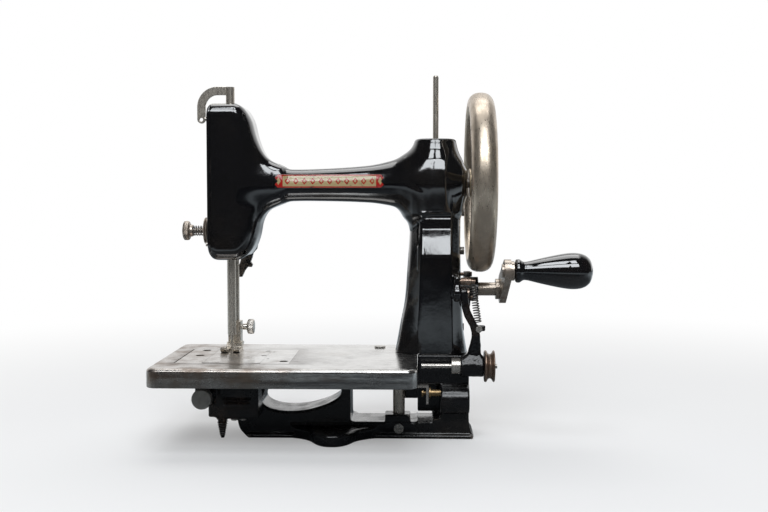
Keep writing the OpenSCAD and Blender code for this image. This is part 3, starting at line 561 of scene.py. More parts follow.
def arm_outer(x, y, z):
    """outside of head, arm and pillar as one solid"""
    arm = np.sqrt((y * 1.04) ** 2 + (z - curve32(ARM_CENTRE, x)) ** 2) - curve32(ARM_RADIUS, x)
    arm = smax(arm, np.maximum(-146 - x, x - 4), 2) * 0.92
    hub = np.sqrt((x + 0.3) ** 2 + y * y) - curve32(HUB_RADIUS, z)
    hub = smax(hub, np.maximum(z - HUB_TOP, 174.6 - z), 2.6) * 0.92
    # tapered boss on the right, towards the handwheel
    taper = np.interp(x, [10, 20, 23.6], [21, 15.5, 10.5]).astype(np.float32)
    boss = np.sqrt(y * y + (z - ARM_Z) ** 2) - taper
    boss = smax(boss, np.maximum(x - 23.6, 0 - x), 1.5) * 0.85
    body = smin(head_shape(x, y, z), arm, 9.0)
    body = smin(body, hub, 11.0)
    body = smin(body, boss, 6.0)
    pillar = smax(pillar_distance(x, y, z), np.maximum(ARM_FOOT_Z - z, z - 186), 0.8)
    k = (2.2 + 10.0 * np.clip((-x - 6) / 12, 0, 1)
         + 4.0 * np.clip((x - 14) / 6, 0, 1)).astype(np.float32)
    body = smin(body, pillar, k)
    # lug for the winder studs
    lug = rod(y - WINDER_Y, z - PIVOT_Z, x, 6.4, 13.6, 18.3, 0.8)
    lug = smin(lug, box(x, y, z, (13.6, WINDER_Y - 3.8, 109), (18.3, -12, 126.5), 2.0), 2.5)
    body = smin(body, lug, 2.0)
    above_hub = np.where(x > -60, z - HUB_TOP, -50.0)
    return np.maximum(body, np.maximum(ARM_FOOT_Z - z, above_hub))


def arm_shape(x, y, z):
    body = np.maximum(arm_outer(x, y, z), PLATE_X - x)
    cut = union(
        # hollows of the head, the arm and the pillar
        box(x, y, z, (-190, -16.6, 142.4), (-147, 21.6, 250), 1.0),
        rod(y, z - ARM_Z, x, 9.4, -150, -18),
        box(x, y, z, (-14, -14.5, 55), (14, 14.5, 190), 1.0),
        box(x, y, z, (1.9, -16.7, 55), (13.6, 16.7, 192), 1.0),
        rod(y, z - ARM_Z, x, 12, -14, 13.5),
        # opening in the back of the pillar, with a shallow recess round it
        box(x, y, z, (-10, 10, 76), (12, 30, 178), 0.5),
        box(x, y, z, (-14.1, 16.5, 69.9), (14.1, 30, 184.1), 0.2),
        # shaft holes, the hole in the hub top and the two bar holes
        rod(y, z - ARM_Z, x, 6, -30, 30),
        rod(y, z - CRANK_Z, x, 7, 10, 30),
        rod(x, y, z, 2.1, 217, 240),
        rod(x - NEEDLE_X, y, z, 5, 130, 265),
        rod(x - NEEDLE_X, y - PRESSER_Y, z, 5, 130, 146),
        # stud holes in the lug
        rod(y - WINDER_Y, z - PIVOT_Z, x, 2.5, 10, 30),
        rod(y - WINDER_Y, z - 122.5, x, 2.05, 12, 30))
    return np.maximum(body, -cut)


def face_plate_shape(x, y, z):
    """left end of the head, with an eased rim and a hole for the tension parts"""
    body = np.maximum(arm_outer(x, y, z), x + 173.05)
    body = smax(body, -176.0 - x, 0.9)
    return np.maximum(body, -rod(y, z - 160, x, 2.0, -180, -170))


# ------------------------------------------------------------------ base
# rows: x, z, corner radius
BASE_FRONT = rounded_outline([
    (-154, 12.5, 3), (-152, 6, 2), (-146.5, 0, 2), (28, 0, 1.5), (29.2, 2.2, 2), (26.2, 9, 4),
    (25.8, 16, 2), (25.8, 44, 0.5), (-13.7, 44, 0.5), (-13.7, 12.4, 2.5), (-65.6, 12.4, 3),
    (-65.9, BED_UNDER, 0.5), (-72.6, BED_UNDER, 0.5), (-72.8, 34, 5), (-76.5, 30.2, 3),
    (-84.2, 26.0, 4), (-98, 21.7, 5), (-110, 20.3, 5), (-121, 20.7, 4), (-130, 23, 4),
    (-135.6, 27.6, 4), (-131.5, 39, 4), (-130, BED_UNDER, 0.5), (-146, BED_UNDER, 0.5),
    (-151, 38, 6)])
# rows: x, y, corner radius
LUG_PLAN = rounded_outline([
    (-112, -12, 1), (-110, -21, 6), (-97, -30, 8), (-91, -44, 6), (-84, -51.6, 7),
    (-72, -51.6, 7), (-65, -44, 6), (-60, -31, 8), (-47, -21, 6), (-44, -12, 1)], 4)


def base_shape(x, y, z):
    body = smax(polygon(x, z, BASE_FRONT), np.abs(y) - 18.0, 2.2)
    body = np.minimum(body, box(x, y, z, (-13.7, -18.4, 40), (25.8, 18.4, BED_TOP), 1.0))
    for side in (1, -1):
        lug = smax(polygon(x, side * y, LUG_PLAN), np.abs(z - 4.5) - 4.5, 2.2)
        body = smin(body, lug, 4.0)
    # pads under the back of the bed and an upright rib
    body = union(body,
                 box(x, y, z, (-148, 15, 45), (-134, 30, BED_UNDER), 1.0),
                 box(x, y, z, (-52, 14, 45), (-13.7, 30, BED_UNDER), 1.0),
                 box(x, y, z, (-24.5, 2, 27.4), (-12.0, 6.8, BED_UNDER), 0.8))
    # low block, round boss on the front and the foot flange
    body = smin(body, box(x, y, z, (-39, -18.2, 6), (-19.5, -2, 18.4), 1.0), 1.5)
    body = smin(body, rod(y + 20, z - 30.9, x, 11.1, 3.9, 25.8, 1.2), 1.2)
    body = smin(body, box(x, y, z, (-145.5, -21.0, 0), (29.0, 21.0, 3.0), 1.2), 2.2)
    window = box(x, y, z, (-30, -60, 15), (3.85, 10, 43), 0.8)
    cut = union(
        # hollows underneath and the slot down the column
        box(x, y, z, (-126, -12, -5), (-52, 12, 6), 1.0),
        box(x, y, z, (-40, -12, -5), (-10, 12, 6), 1.0),
        box(x, y, z, (2, -11.8, 31), (13, 11.8, 80), 0.5),
        # opening in the front of the column
        np.maximum(window, np.maximum(-13.7 - x, -40 - y)),
        box(x, y, z, (-13.8, -30, 12.4), (-2, 30, 15.6), 0.5),
        # lengthwise bores and an upright hole
        rod(y, z - LOWER_Z, x, 4.3, -90, 3),
        rod(y, z - LOWER_Z, x, 5, -170, -120),
        rod(y, z - LOWER_Z, x, 5, 12, 40),
        rod(x + 28.3, y + 10, z, 4.65, 14.6, 30))
    for side in (1, -1):
        dx, dy = x - LUG_X, y - side * LUG_Y
        cone = np.sqrt(dx ** 2 + dy ** 2) - (2.75 + np.clip(z - 6, 0, 3.2))
        cut = union(cut, rod(dx, dy, z, 2.75, -5, 20), np.maximum(cone * 0.7, 5.5 - z))
    return np.maximum(np.maximum(body, -cut), -z)


# ------------------------------------------------------------------ small castings
# rows: x, z, corner radius
BRACKET_FRONT = rounded_outline([
    (19.2, 115, 2), (24.6, 115, 2), (24.8, 106, 3), (26.4, 99, 4), (30.2, 92.5, 4),
    (33.4, 84, 4), (34.0, 74, 4), (34.2, 62, 2), (34.2, 54, 1), (22.5, 54, 1), (23.5, 66, 4),
    (27.4, 80, 5), (26.6, 87.5, 5), (22.6, 93.5, 5), (19.6, 101, 4)])


def winder_bracket_shape(x, y, z):
    dy = y - WINDER_Y
    body = smax(polygon(x, z, BRACKET_FRONT), np.abs(dy) - 3.6, 2.4)
    body = smin(body, rod(dy, z - PIVOT_Z, x, 5.6, 18.6, 23.5, 0.9), 2.0)
    body = smin(body, rod(dy, z - WINDER_Z, x, 8.0, 18.7, 36.2, 1.2), 3.0)
    # pad for the spring screw
    pad = box(x, y, z, (27, WINDER_Y - 2.4, 84.8), (37.4, WINDER_Y + 2.4, 89.2), 1.2)
    body = smin(body, pad, 1.5) + 0.28 * lumps(x, y, z, 3.6, 4)
    cut = union(rod(dy, z - WINDER_Z, x, 1.8, 0, 60), rod(dy, z - PIVOT_Z, x, 2.55, 0, 60))
    return np.maximum(body, -cut)


def looper_case_shape(x, y, z):
    body = box(x, y, z, (-166.5, -40, 18.5), (-134, -18, 50.6), 1.6)
    body = smin(body, box(x, y, z, (-181, -46, 31), (-166.4, -34, 50.6), 1.6), 2.0)
    body = smin(body, rod(x - DIAL_X, z - DIAL_Z, y, 7.4, -58, -45.9, 0.8), 2.2)
    body = smin(body, box(x, y, z, (-172, -40, 20), (-166.4, -28, 32), 1.4), 2.0)
    # raised rib and pocket on the front
    body = smin(body, box(x, y, z, (-160, -40.9, 27), (-141, -38, 31), 1.2), 1.5)
    pocket = box(x, y, z, (-161.5, -42, 33.5), (-139.5, -38.9, 46.5), 1.6)
    body = smax(body, -pocket, 1.0) + 0.14 * lumps(x, y, z, 5.0, 9)
    cut = union(box(x, y, z, (-160, -35, 26), (-140, -16, 44), 1.0),
                rod(x - DIAL_X, z - DIAL_Z, y, 2.1, -60, -30))
    return np.maximum(np.maximum(body, -cut), z - 50.62)


# ------------------------------------------------------------------ turned, pressed, wound
def make_bed():
    x0, x1, y0, y1, corner = -207.7, -14.0, -90.0, 42.0, 8.0
    edge = 2.9  # radius of the top edge
    # height, inset from the outline: up the inside of the skirt, round its rim, over the top
    rows = [(60.2, 4.4), (60.2, 4.0), (52.0, 3.9), (50.9, 3.6), (BED_UNDER, 3.2),
            (BED_UNDER, 0.7), (50.85, 0.3), (51.3, 0.0), (56.0, 0.0)]
    for i in range(9):
        a = math.pi / 2 * i / 8
        rows.append((BED_TOP - edge + edge * math.sin(a), edge - edge * math.cos(a)))
    rows += [(BED_TOP, edge + 0.25), (BED_TOP, edge + 2.0)]
    bed = loft("bed_casting", [
        [(x, y, z) for x, y in rounded_rect(x0 + inset, x1 - inset, y0 + inset, y1 - inset,
                                            max(corner - inset * 0.8, 1.2))]
        for z, inset in rows])
    # recess for the plates, then the two openings below it
    subtract(bed, block("cutter", -193, -108, -63, 8, BED_TOP - 2, BED_TOP + 2))
    subtract(bed, block("cutter", -189, -133, -59, 7, 58, BED_TOP - 1))
    subtract(bed, block("cutter", -126, -112, -59, 4, 58, BED_TOP - 1))
    counterbore = [(58, 0), (58, 2.15), (BED_TOP - 1.5, 2.15), (BED_TOP - 1.5, 4.6),
                   (BED_TOP - 0.25, 4.6), (BED_TOP + 1, 5.6), (BED_TOP + 1, 0)]
    subtract(bed, lathe("cutter", counterbore, "Z", (-44.2, 24, 0), 48))
    drill(bed, 2.0, 58, BED_TOP + 1, "Z", (-20, -8, 0), 24)
    sharpen(bed, 34)
    boss = [(50.9, 2.4), (50.75, 6.6), (51.2, 7), (60.4, 7.6), (60.4, 2.4)]
    bosses = [lathe("boss", boss, "Z", (x, y, 0), 36)
              for x, y in ((-141, 24.5), (-44.2, 24), (-28.3, -10))]
    return join("bed_casting", [bed] + bosses)


def make_spoke(angle, wheel_x):
    """tapered spoke, flared at the hub and at the rim"""
    steps, sides = 14, 20
    inner, outer = 8.5, 57.6  # radii of its ends
    rings = []
    for i in range(steps + 1):
        t = i / steps
        r = inner + (outer - inner) * t
        flare = 1 + 0.55 * max(0, 1 - t / 0.16) ** 2 + 0.5 * max(0, (t - 0.86) / 0.14) ** 2
        half_width = (5.6 - 1.5 * t) * flare
        half_depth = (3.2 - 0.4 * t) * (1 + 0.4 * (flare - 1))
        ring = []
        for j in range(sides):
            b = 2 * math.pi * j / sides
            u = half_width * signed_power(math.cos(b), 0.8)
            w = half_depth * signed_power(math.sin(b), 0.8)
            y = r * math.sin(angle) + u * math.cos(angle)
            z = r * math.cos(angle) - u * math.sin(angle)
            ring.append((wheel_x + w, -y, ARM_Z + z))
        rings.append(ring)
    return loft("spoke", rings)


def make_wheel():
    """rim, hub and five spokes"""
    wheel_x, radius, width = 34.4, 69.5, 19.5
    crown, belly = 9.2, 4.2  # rise of the rim section outside and inside its widest line
    section = []
    for i in range(25):
        a = math.pi * i / 24
        section.append((wheel_x - width / 2 * signed_power(math.cos(a), 0.86),
                        radius - crown + crown * abs(math.sin(a)) ** 0.9))
    for i in range(1, 12):
        a = math.pi * i / 12
        section.append((wheel_x + width / 2 * math.cos(a) * 0.985,
                        radius - crown - belly * math.sin(a) ** 0.8))
    axis = (0, 0, ARM_Z)
    hub = round_profile([(26.0, 4.0), (26.0, 11), (43.0, 11), (43.0, 4.0)], 1.2, 4)
    parts = [lathe("rim", section, "X", axis, 144, closed=True),
             lathe("hub", hub, "X", axis, 72, closed=True)]
    parts += [make_spoke(math.radians(72 * k), wheel_x) for k in range(5)]
    return join("wheel", parts)


def make_grip():
    # x, radius
    keys = [(57.6, 6.4), (58.3, 8.0), (59.8, 8.7), (61.4, 8.6), (62.9, 7.6), (64.2, 6.9),
            (66.2, 6.9), (69, 7.45), (74, 8.7), (80, 10.1), (87, 11.6), (93.5, 12.8),
            (99.5, 13.45), (104, 13.3), (108, 12.4), (111.2, 10.6), (113.4, 8.0), (114.6, 4.8)]
    start, end = keys[0][0], keys[-1][0]
    xs = [start + (end - start) * i / 84 for i in range(1, 84)]
    profile = [(57.5, 0), (57.5, 5.2), keys[0]]
    profile += zip(xs, smooth_curve(keys, np.array(xs)))
    profile += [(114.75, 3.9), (114.92, 2.6), (115.0, 1.2), (115.0, 0)]
    return lathe("hand_grip", profile, "X", (0, GRIP_Y, GRIP_Z), 96)


def make_take_up():
    """flat hook, drawn in x and z"""
    x, z = -170.5, 256.5
    outline = arc(x, z, 15.85, 90, 180, 22)
    outline += arc(-183.2, 247.0, 3.15, 180, 360, 14)
    outline += arc(x, z, 9.4, 180, 96, 18)
    outline += [(-170.2, 265.9), (-160.6, 265.9), (-160.6, 272.3), (-170.5, 272.35)]
    hook = prism("take_up_lever", outline, -1.3, 1.3, "Y")
    drill(hook, 1.5, -4, 4, "Y", (-183.3, 0, 246.8), 28)
    return bevel(sharpen(hook, 35), 0.28, 40)


def make_pulley():
    """winder wheel with a groove in its rim"""
    profile = round_profile([
        (36.6, 0), (36.6, 11.5), (37.1, 12), (38.2, 12), (38.6, 11.4), (39.3, 9.9),
        (40.7, 9.2), (42.2, 9.8), (43.0, 11.4), (43.4, 12), (44.1, 12), (44.5, 11.5),
        (44.5, 0)], 0.5)
    return lathe("winder_wheel", profile, "X", (0, WINDER_Y, WINDER_Z), 80)


def make_foot():
    """shank block with a clamp slot and a thin forked sole, toe turned up"""
    shank = block("shank", NEEDLE_X - 5, NEEDLE_X + 5, PRESSER_Y - 5, PRESSER_Y + 5, 69.5, 87)
    drill(shank, 3.45, 60, 95, "Z", (NEEDLE_X, PRESSER_Y, 0), 40)
    subtract(shank, block("cutter", NEEDLE_X + 1, NEEDLE_X + 8,
                          PRESSER_Y - 0.4, PRESSER_Y + 0.4, 76, 90))
    rings = []
    # y, lift of the underside above the bed
    for y, lift in [(-12.4, 3.15), (-11.4, 2.2), (-10.2, 1.15), (-8.8, 0.35), (-7.0, 0.05),
                    (0, 0.05), (8.8, 0.05)]:
        narrow = 0.82 if y < -11.6 else 1
        thin = 1 if y > -9 else 0.85
        rings.append([(NEEDLE_X + x * narrow, y, BED_TOP + lift + z * thin)
                      for x, z in ((-7.4, 0), (7.4, 0), (7.4, 1.9), (-7.4, 1.9))])
    sole = loft("sole", rings)
    subtract(sole, block("cutter", NEEDLE_X - 1.9, NEEDLE_X + 1.9, -20, 6.5, 60, 80))
    # side outline of the wedge between sole and shank: y, z
    wedge = prism("wedge", [(8.2, BED_TOP + 1.5), (8.2, BED_TOP + 2.2), (12, 70.2),
                            (20.5, 70.2), (20.5, 68.6), (16, BED_TOP + 1.5)],
                  NEEDLE_X - 6.2, NEEDLE_X + 6.2, "X")
    return bevel(sharpen(join("sewing_foot", [shank, sole, wedge]), 30), 0.35, 30)


def knurled(name, profile, axis, at, teeth, depth):
    """turned knob whose larger radii carry fine grooves"""
    obj = lathe(name, profile, axis, at, teeth * 4)
    along = "XYZ".index(axis)
    a, b = (along + 1) % 3, (along + 2) % 3
    at = [c * MM for c in at]
    rmax = max(p[1] for p in profile) * MM
    for v in obj.data.vertices:
        da, db = v.co[a] - at[a], v.co[b] - at[b]
        r = math.hypot(da, db)
        if r > rmax * 0.93:
            wave = 0.5 + 0.5 * math.cos(math.atan2(db, da) * teeth)
            ramp = min(1, (r - rmax * 0.93) / (rmax * 0.05))
            s = 1 - depth * MM / r * wave * ramp
            v.co[a], v.co[b] = at[a] + da * s, at[b] + db * s
    obj.data.update()
    return obj


def make_tension_nut():
    profile = round_profile([
        (-198, 1.98), (-198, 6.2), (-197.3, 7.3), (-196.6, 7.5), (-194.4, 7.5), (-193.6, 7.2),
        (-193.0, 6.2), (-192.7, 4.7), (-190.6, 4.6), (-190.6, 1.98)], 0.35, 2)
    return knurled("tension_thumb_nut", profile, "X", (0, 0, 160), teeth=48, depth=0.42)


def make_foot_screw():
    at = (0, PRESSER_Y, 82.3)
    # offset from the needle line, radius
    shank = [(3.5, 0), (3.5, 1.45), (6, 1.45), (6, 2.5), (9.8, 2.6), (9.8, 0)]
    knob = [(9.7, 0), (9.7, 4.4), (10.5, 5.7), (11.2, 6), (14.2, 6), (15.0, 5.5), (15.3, 4.2),
            (15.1, 0)]
    shank, knob = ([(NEEDLE_X + x, r) for x, r in rows] for rows in (shank, knob))
    return join("foot_thumb_screw", [
        lathe("shank", shank, "X", at, 32),
        knurled("knob", round_profile(knob, 0.3, 2), "X", at, teeth=30, depth=0.45)])


def make_stitch_dial():
    at = (DIAL_X, 0, DIAL_Z)
    dial = round_profile([(-66.3, 0), (-66.3, 6.9), (-65.8, 7.5), (-59.0, 7.5), (-58.4, 7.0),
                          (-58.3, 0)], 0.4)
    shank = [(-58.4, 0), (-58.4, 2), (-33.9, 2), (-33.9, 3.4), (-32.8, 3.4), (-32.8, 0)]
    return join("stitch_dial", [knurled("dial", dial, "Y", at, teeth=60, depth=0.3),
                                lathe("shank", shank, "Y", at, 32)])


# tapered post with a wire coil, and two slotted screws, under the looper case
POST_X, POST_Y = -162.7, -32


def make_tension_post():
    profile = round_profile([
        (2.8, 0), (2.8, 1.3), (4.6, 1.7), (12, 2.9), (16.8, 3.6), (17, 4.3), (18.4, 4.3),
        (18.4, 1.5), (22, 1.5), (22, 0)], 0.3, 2)
    return lathe("loop_tension_post", profile, "Z", (POST_X, POST_Y, 0), 36)


def make_tension_wire():
    turns, steps = 6, 6 * 18
    points = []
    for i in range(steps + 1):
        t = i / steps
        a = 2 * math.pi * turns * t
        r = 3.9 - 2.0 * t
        points.append((POST_X + r * math.cos(a), POST_Y + r * math.sin(a), 15.4 - 10.6 * t))
    return wire_along("loop_tension_wire", points, 0.34)


def make_case_screws():
    profile = round_profile([(16.2, 0), (16.2, 2.3), (16.8, 2.9), (18.4, 2.9), (18.4, 1.5),
                             (23, 1.5), (23, 0)], 0.3, 2)
    screws = []
    for x in (-153.5, -147):
        screw = lathe("screw", profile, "Z", (x, POST_Y, 0), 32)
        subtract(screw, block("cutter", x - 4, x + 4, POST_Y - 0.35, POST_Y + 0.35, 15, 16.9))
        screws.append(sharpen(screw, 35))
    return join("case_screws", screws)


def make_spring_screw():
    """slotted screw that holds the lower end of the winder's spring"""
    y = WINDER_Y
    profile = round_profile([(y - 4.8, 0), (y - 4.8, 2.35), (y - 2.3, 2.75), (y - 2.3, 0)],
                            0.35, 2)
    screw = lathe("winder_spring_screw", profile, "Y", (32.4, 0, 86.4), 40)
    subtract(screw, block("cutter", 32.0, 32.8, y - 6, y - 4.0, 80, 92))
    return screw


def make_ornament():
    """thin printed band laid on the front of the arm"""
    nx, nz = 150, 26
    points = np.array([[BAND_LEFT + BAND_LENGTH * i / nx, -25.0,
                        BAND_BOTTOM + BAND_HEIGHT * j / nz]
                       for i in range(nx + 1) for j in range(nz + 1)])
    x, z = (points[:, k].astype(np.float32).reshape(-1, 1, 1) for k in (0, 2))
    # find the y of the arm's front by halving the interval
    front, back = np.full(len(points), -26.0), np.full(len(points), -4.0)
    for _ in range(26):
        mid = (front + back) / 2
        inside = arm_outer(x, mid.astype(np.float32).reshape(-1, 1, 1), z).ravel() < 0.07
        back = np.where(inside, mid, back)
        front = np.where(inside, front, mid)
    points[:, 1] = front
    row = nz + 1
    corners = [i * row + j for i in range(nx) for j in range(nz)]
    obj = make_object("arm_ornament", points, [(a, a + row, a + row + 1, a + 1) for a in corners])
    uv = obj.data.uv_layers.new(name="band")
    for loop in obj.data.loops:
        i, j = divmod(loop.vertex_index, row)
        uv.data[loop.index].uv = (i / nx * BAND_LENGTH / BAND_HEIGHT, j / nz)
    mod = obj.modifiers.new("thickness", "SOLIDIFY")
    mod.thickness = 0.05 * MM
    mod.offset = -1
    apply_modifiers(obj)
    return obj


# ------------------------------------------------------------------ shader building
class Shader:
    """short names for building a node tree; value sockets take a number, colour or output"""

    def __init__(self, owner, kind="Material", coords="Object"):
        owner.use_nodes = True
        self.owner = owner
        self.tree = owner.node_tree
        self.tree.nodes.clear()
        self.out = self.node("Output" + kind)
        self.co = self.node("TexCoord").outputs[coords]

    def node(self, kind, inputs=None, **settings):
        made = self.tree.nodes.new("ShaderNode" + kind)
        for key, value in settings.items():
            setattr(made, key, value)
        for key, value in (inputs or {}).items():
            socket = made.inputs[key]
            if isinstance(value, bpy.types.NodeSocket):
                self.tree.links.new(value, socket)
            elif isinstance(value, tuple) and socket.type == "RGBA":
                socket.default_value = (*value, 1)
            else:
                socket.default_value = value
        return made

    def surface(self, shader):
        self.tree.links.new(shader.outputs[0], self.out.inputs["Surface"])
        return self.owner

    def mapped(self, stretch=(1, 1, 1), shift=(0, 0, 0)):
        inputs = {"Vector": self.co, "Scale": stretch, "Location": shift}
        return self.node("Mapping", inputs).outputs[0]

    def noise(self, scale, detail=3, rough=0.55, distort=0.0, **mapping):
        return self.node("TexNoise", {
            "Vector": self.mapped(**mapping), "Scale": scale, "Detail": detail,
            "Roughness": rough, "Distortion": distort}).outputs["Fac"]

    def voronoi(self, scale, feature="F1"):
        inputs = {"Vector": self.mapped(), "Scale": scale}
        return self.node("TexVoronoi", inputs, feature=feature).outputs["Distance"]

    def ramp(self, value, span, to=(0.0, 1.0), smooth=True):
        """map value from one range to another, clamped"""
        return self.node("MapRange", {
            "Value": value, "From Min": span[0], "From Max": span[1], "To Min": to[0],
            "To Max": to[1]}, interpolation_type="SMOOTHSTEP" if smooth else "LINEAR",
        ).outputs["Result"]

    def patches(self, span, to=(0.0, 1.0), **noise):
        """noise mapped from a range"""
        return self.ramp(self.noise(**noise), span, to)

    def window(self, value, rise, fall, smooth=True):
        """1 between two ramps"""
        return self.mul(self.ramp(value, rise, smooth=smooth),
                        self.ramp(value, fall, smooth=smooth))

    def math(self, operation, a, b=None, clamp=False):
        inputs = {0: a} if b is None else {0: a, 1: b}
        return self.node("Math", inputs, operation=operation, use_clamp=clamp).outputs[0]

    def mul(self, a, b, clamp=False):
        return self.math("MULTIPLY", a, b, clamp)

    def add(self, a, b, clamp=False):
        return self.math("ADD", a, b, clamp)

    def sub(self, a, b):
        return self.math("SUBTRACT", a, b)

    def mix(self, factor, a, b, blend="MIX"):
        return self.node("Mix", {0: factor, 6: a, 7: b}, data_type="RGBA",
                         blend_type=blend).outputs[2]

    def mix_value(self, factor, a, b):
        return self.node("Mix", {0: factor, 2: a, 3: b}, data_type="FLOAT").outputs[0]

    def bumps(self, layers, normal=None):
        """stack bump nodes; layers are (height, distance in metres)"""
        for height, distance in layers:
            inputs = {"Height": height, "Distance": distance, "Strength": 1.0}
            if normal is not None:
                inputs["Normal"] = normal
            normal = self.node("Bump", inputs).outputs["Normal"]
        return normal

    def split(self, vector):
        return self.node("SeparateXYZ", {0: vector}).outputs

    def axis(self, k):
        return self.split(self.co)[k]

    def geometry(self, output):
        return self.node("NewGeometry").outputs[output]

    def principled(self, inputs):
        return self.surface(self.node("BsdfPrincipled", inputs))


def new_material(name):
    return Shader(bpy.data.materials.new(name))


def scaled(color, k):
    return tuple(c * k for c in color)


# ------------------------------------------------------------------ finishes
def hollowed_normal(mat):
    """normal that leans back on the front of the pillar under the arm, as if hollowed"""
    normal = mat.geometry("Normal")
    toward_front = mat.ramp(mat.split(normal)[1], (-0.80, -0.92))
    x, z = mat.axis(0), mat.axis(2)
    face = mat.mul(mat.window(x, (-0.0118, -0.0104), (0.0122, 0.0108)), toward_front)
    lean = mat.mul(mat.window(z, (0.1390, 0.1432), (0.1640, 0.1604)),
                   mat.ramp(z, (0.142, 0.162), (0.30, 0.50), smooth=False))
    ledge = mat.window(z, (0.1738, 0.1748), (0.1764, 0.1754))
    line = mat.window(z, (0.1688, 0.1696), (0.1708, 0.1700))
    lines = mat.add(mat.mul(ledge, 0.55), mat.mul(line, 0.30))
    up = mat.node("CombineXYZ", {2: mat.mul(face, mat.add(lean, lines))}).outputs[0]
    total = mat.node("VectorMath", {0: normal, 1: up}, operation="ADD").outputs[0]
    return mat.node("VectorMath", {0: total}, operation="NORMALIZE").outputs[0]


def enamel(name, wave=0.00008, peel=0.000016, rough=0.07, chips=0.5,
           haze=(0.020, 0.016, 0.012), haze_amount=0.35, cast=0.0, coat=0.7, hollow=False,
           spec=1.0):
    """black paint; wave, peel and cast set the relief, haze the brownish clouds"""
    mat = new_material(name)
    base_normal = hollowed_normal(mat) if hollow else None
    blot = mat.noise(scale=26, detail=5, rough=0.6)
    color = mat.mix(mat.ramp(blot, (0.47, 0.75), (0, haze_amount)),
                    (0.0042, 0.0042, 0.0050), haze)
    # dust on faces that look up
    dust = mat.mul(mat.ramp(mat.split(mat.geometry("Normal"))[2], (0.55, 0.98)),
                   mat.patches((0.42, 0.72), scale=70, detail=6, rough=0.7))
    color = mat.mix(mat.mul(dust, 0.30), color, (0.085, 0.078, 0.066))
    # chips: bare iron along edges and in a few spots
    edge = mat.ramp(mat.geometry("Pointiness"), (0.535, 0.60))
    spot = mat.patches((0.71, 0.74), scale=170, detail=4, rough=0.7, distort=0.6)
    pits = mat.ramp(mat.voronoi(330), (0.10, 0.05))
    chip = mat.mul(mat.mul(edge, mat.patches((0.52, 0.60), scale=95, detail=6, rough=0.75)),
                   chips, clamp=True)
    spots = mat.mul(mat.mul(spot, mat.ramp(blot, (0.5, 0.62))), chips * 0.6)
    chip = mat.math("MAXIMUM", chip, spots)
    specks = mat.mul(pits, mat.patches((0.60, 0.68), scale=55, detail=2, rough=0.5,
                                       shift=(3, 1, 7)))
    iron = mat.mix(mat.noise(scale=300, detail=4, rough=0.6),
                   (0.10, 0.075, 0.055), (0.21, 0.18, 0.15))
    color = mat.mix(chip, color, iron)
    color = mat.mix(mat.mul(specks, 0.55), color, (0.17, 0.15, 0.12))
    dull = mat.patches((0.40, 0.72), scale=48, detail=5, rough=0.65, shift=(2, 5, 1))
    roughness = mat.add(mat.mix_value(dull, rough, rough * 2.4), mat.mul(dust, 0.25))
    relief = [(mat.noise(scale=34, detail=2, rough=0.4, shift=(1, 1, 4)), wave * 2.2),
              (mat.noise(scale=170, detail=2, rough=0.5), wave * 0.3),
              (mat.noise(scale=420, detail=3, rough=0.6), peel * 1.6)]
    if cast > 0:
        relief += [(mat.noise(scale=650, detail=4, rough=0.65), 0.00016 * cast),
                   (mat.voronoi(520, "SMOOTH_F1"), 0.00014 * cast)]
    relief.append((mat.add(mat.mul(chip, -1.0), mat.mul(specks, 0.5)), 0.00008))
    normal = mat.bumps(relief, base_normal)
    return mat.principled({
        "Base Color": color, "Roughness": mat.mix_value(chip, roughness, 0.55),
        "Normal": normal, "Coat Weight": mat.mix_value(chip, coat, 0.0),
        "Coat Roughness": rough * 0.55, "Coat Normal": normal, "Metallic": 0.0,
        "Specular IOR Level": spec})


# direction of polishing lines: noise stretch of fine lines, coarse lines and blots
STREAKS = {"X": ((0.06, 1, 1), (0.16, 1, 1), (0.62, 1, 1)),
           "Z": ((1, 1, 0.06), (1, 1, 0.16), (1, 1, 0.4)),
           "none": ((1, 1, 1), (1, 1, 1), (1, 1, 1)),
           "turned": ((1, 0.05, 0.05), (1, 0.16, 0.16), (1, 0.3, 0.3))}


def front_wear_and_painted_reflection(mat, color, amount):
    """long streaks in grey and brown on the front-facing side only: rubbed wear, and a painted
    dark reflection of the room in front
    """
    front = mat.ramp(mat.split(mat.geometry("Normal"))[1], (-0.55, -0.9))
    front = mat.mul(front, amount)
    # painted dark reflection laid on the front-facing side as grey streaks
    painted_dark_streaks = mat.patches((0.36, 0.66), scale=330, detail=5, rough=0.62, stretch=(0.05, 1, 1),
                       shift=(4, 4, 1))
    color = mat.mix(mat.mul(front, painted_dark_streaks), color, (0.085, 0.080, 0.082))
    brown = mat.patches((0.50, 0.68), scale=75, detail=5, rough=0.65, stretch=(0.16, 1, 1),
                        shift=(7, 1, 2))
    return mat.mix(mat.mul(front, brown), color, (0.19, 0.135, 0.105))


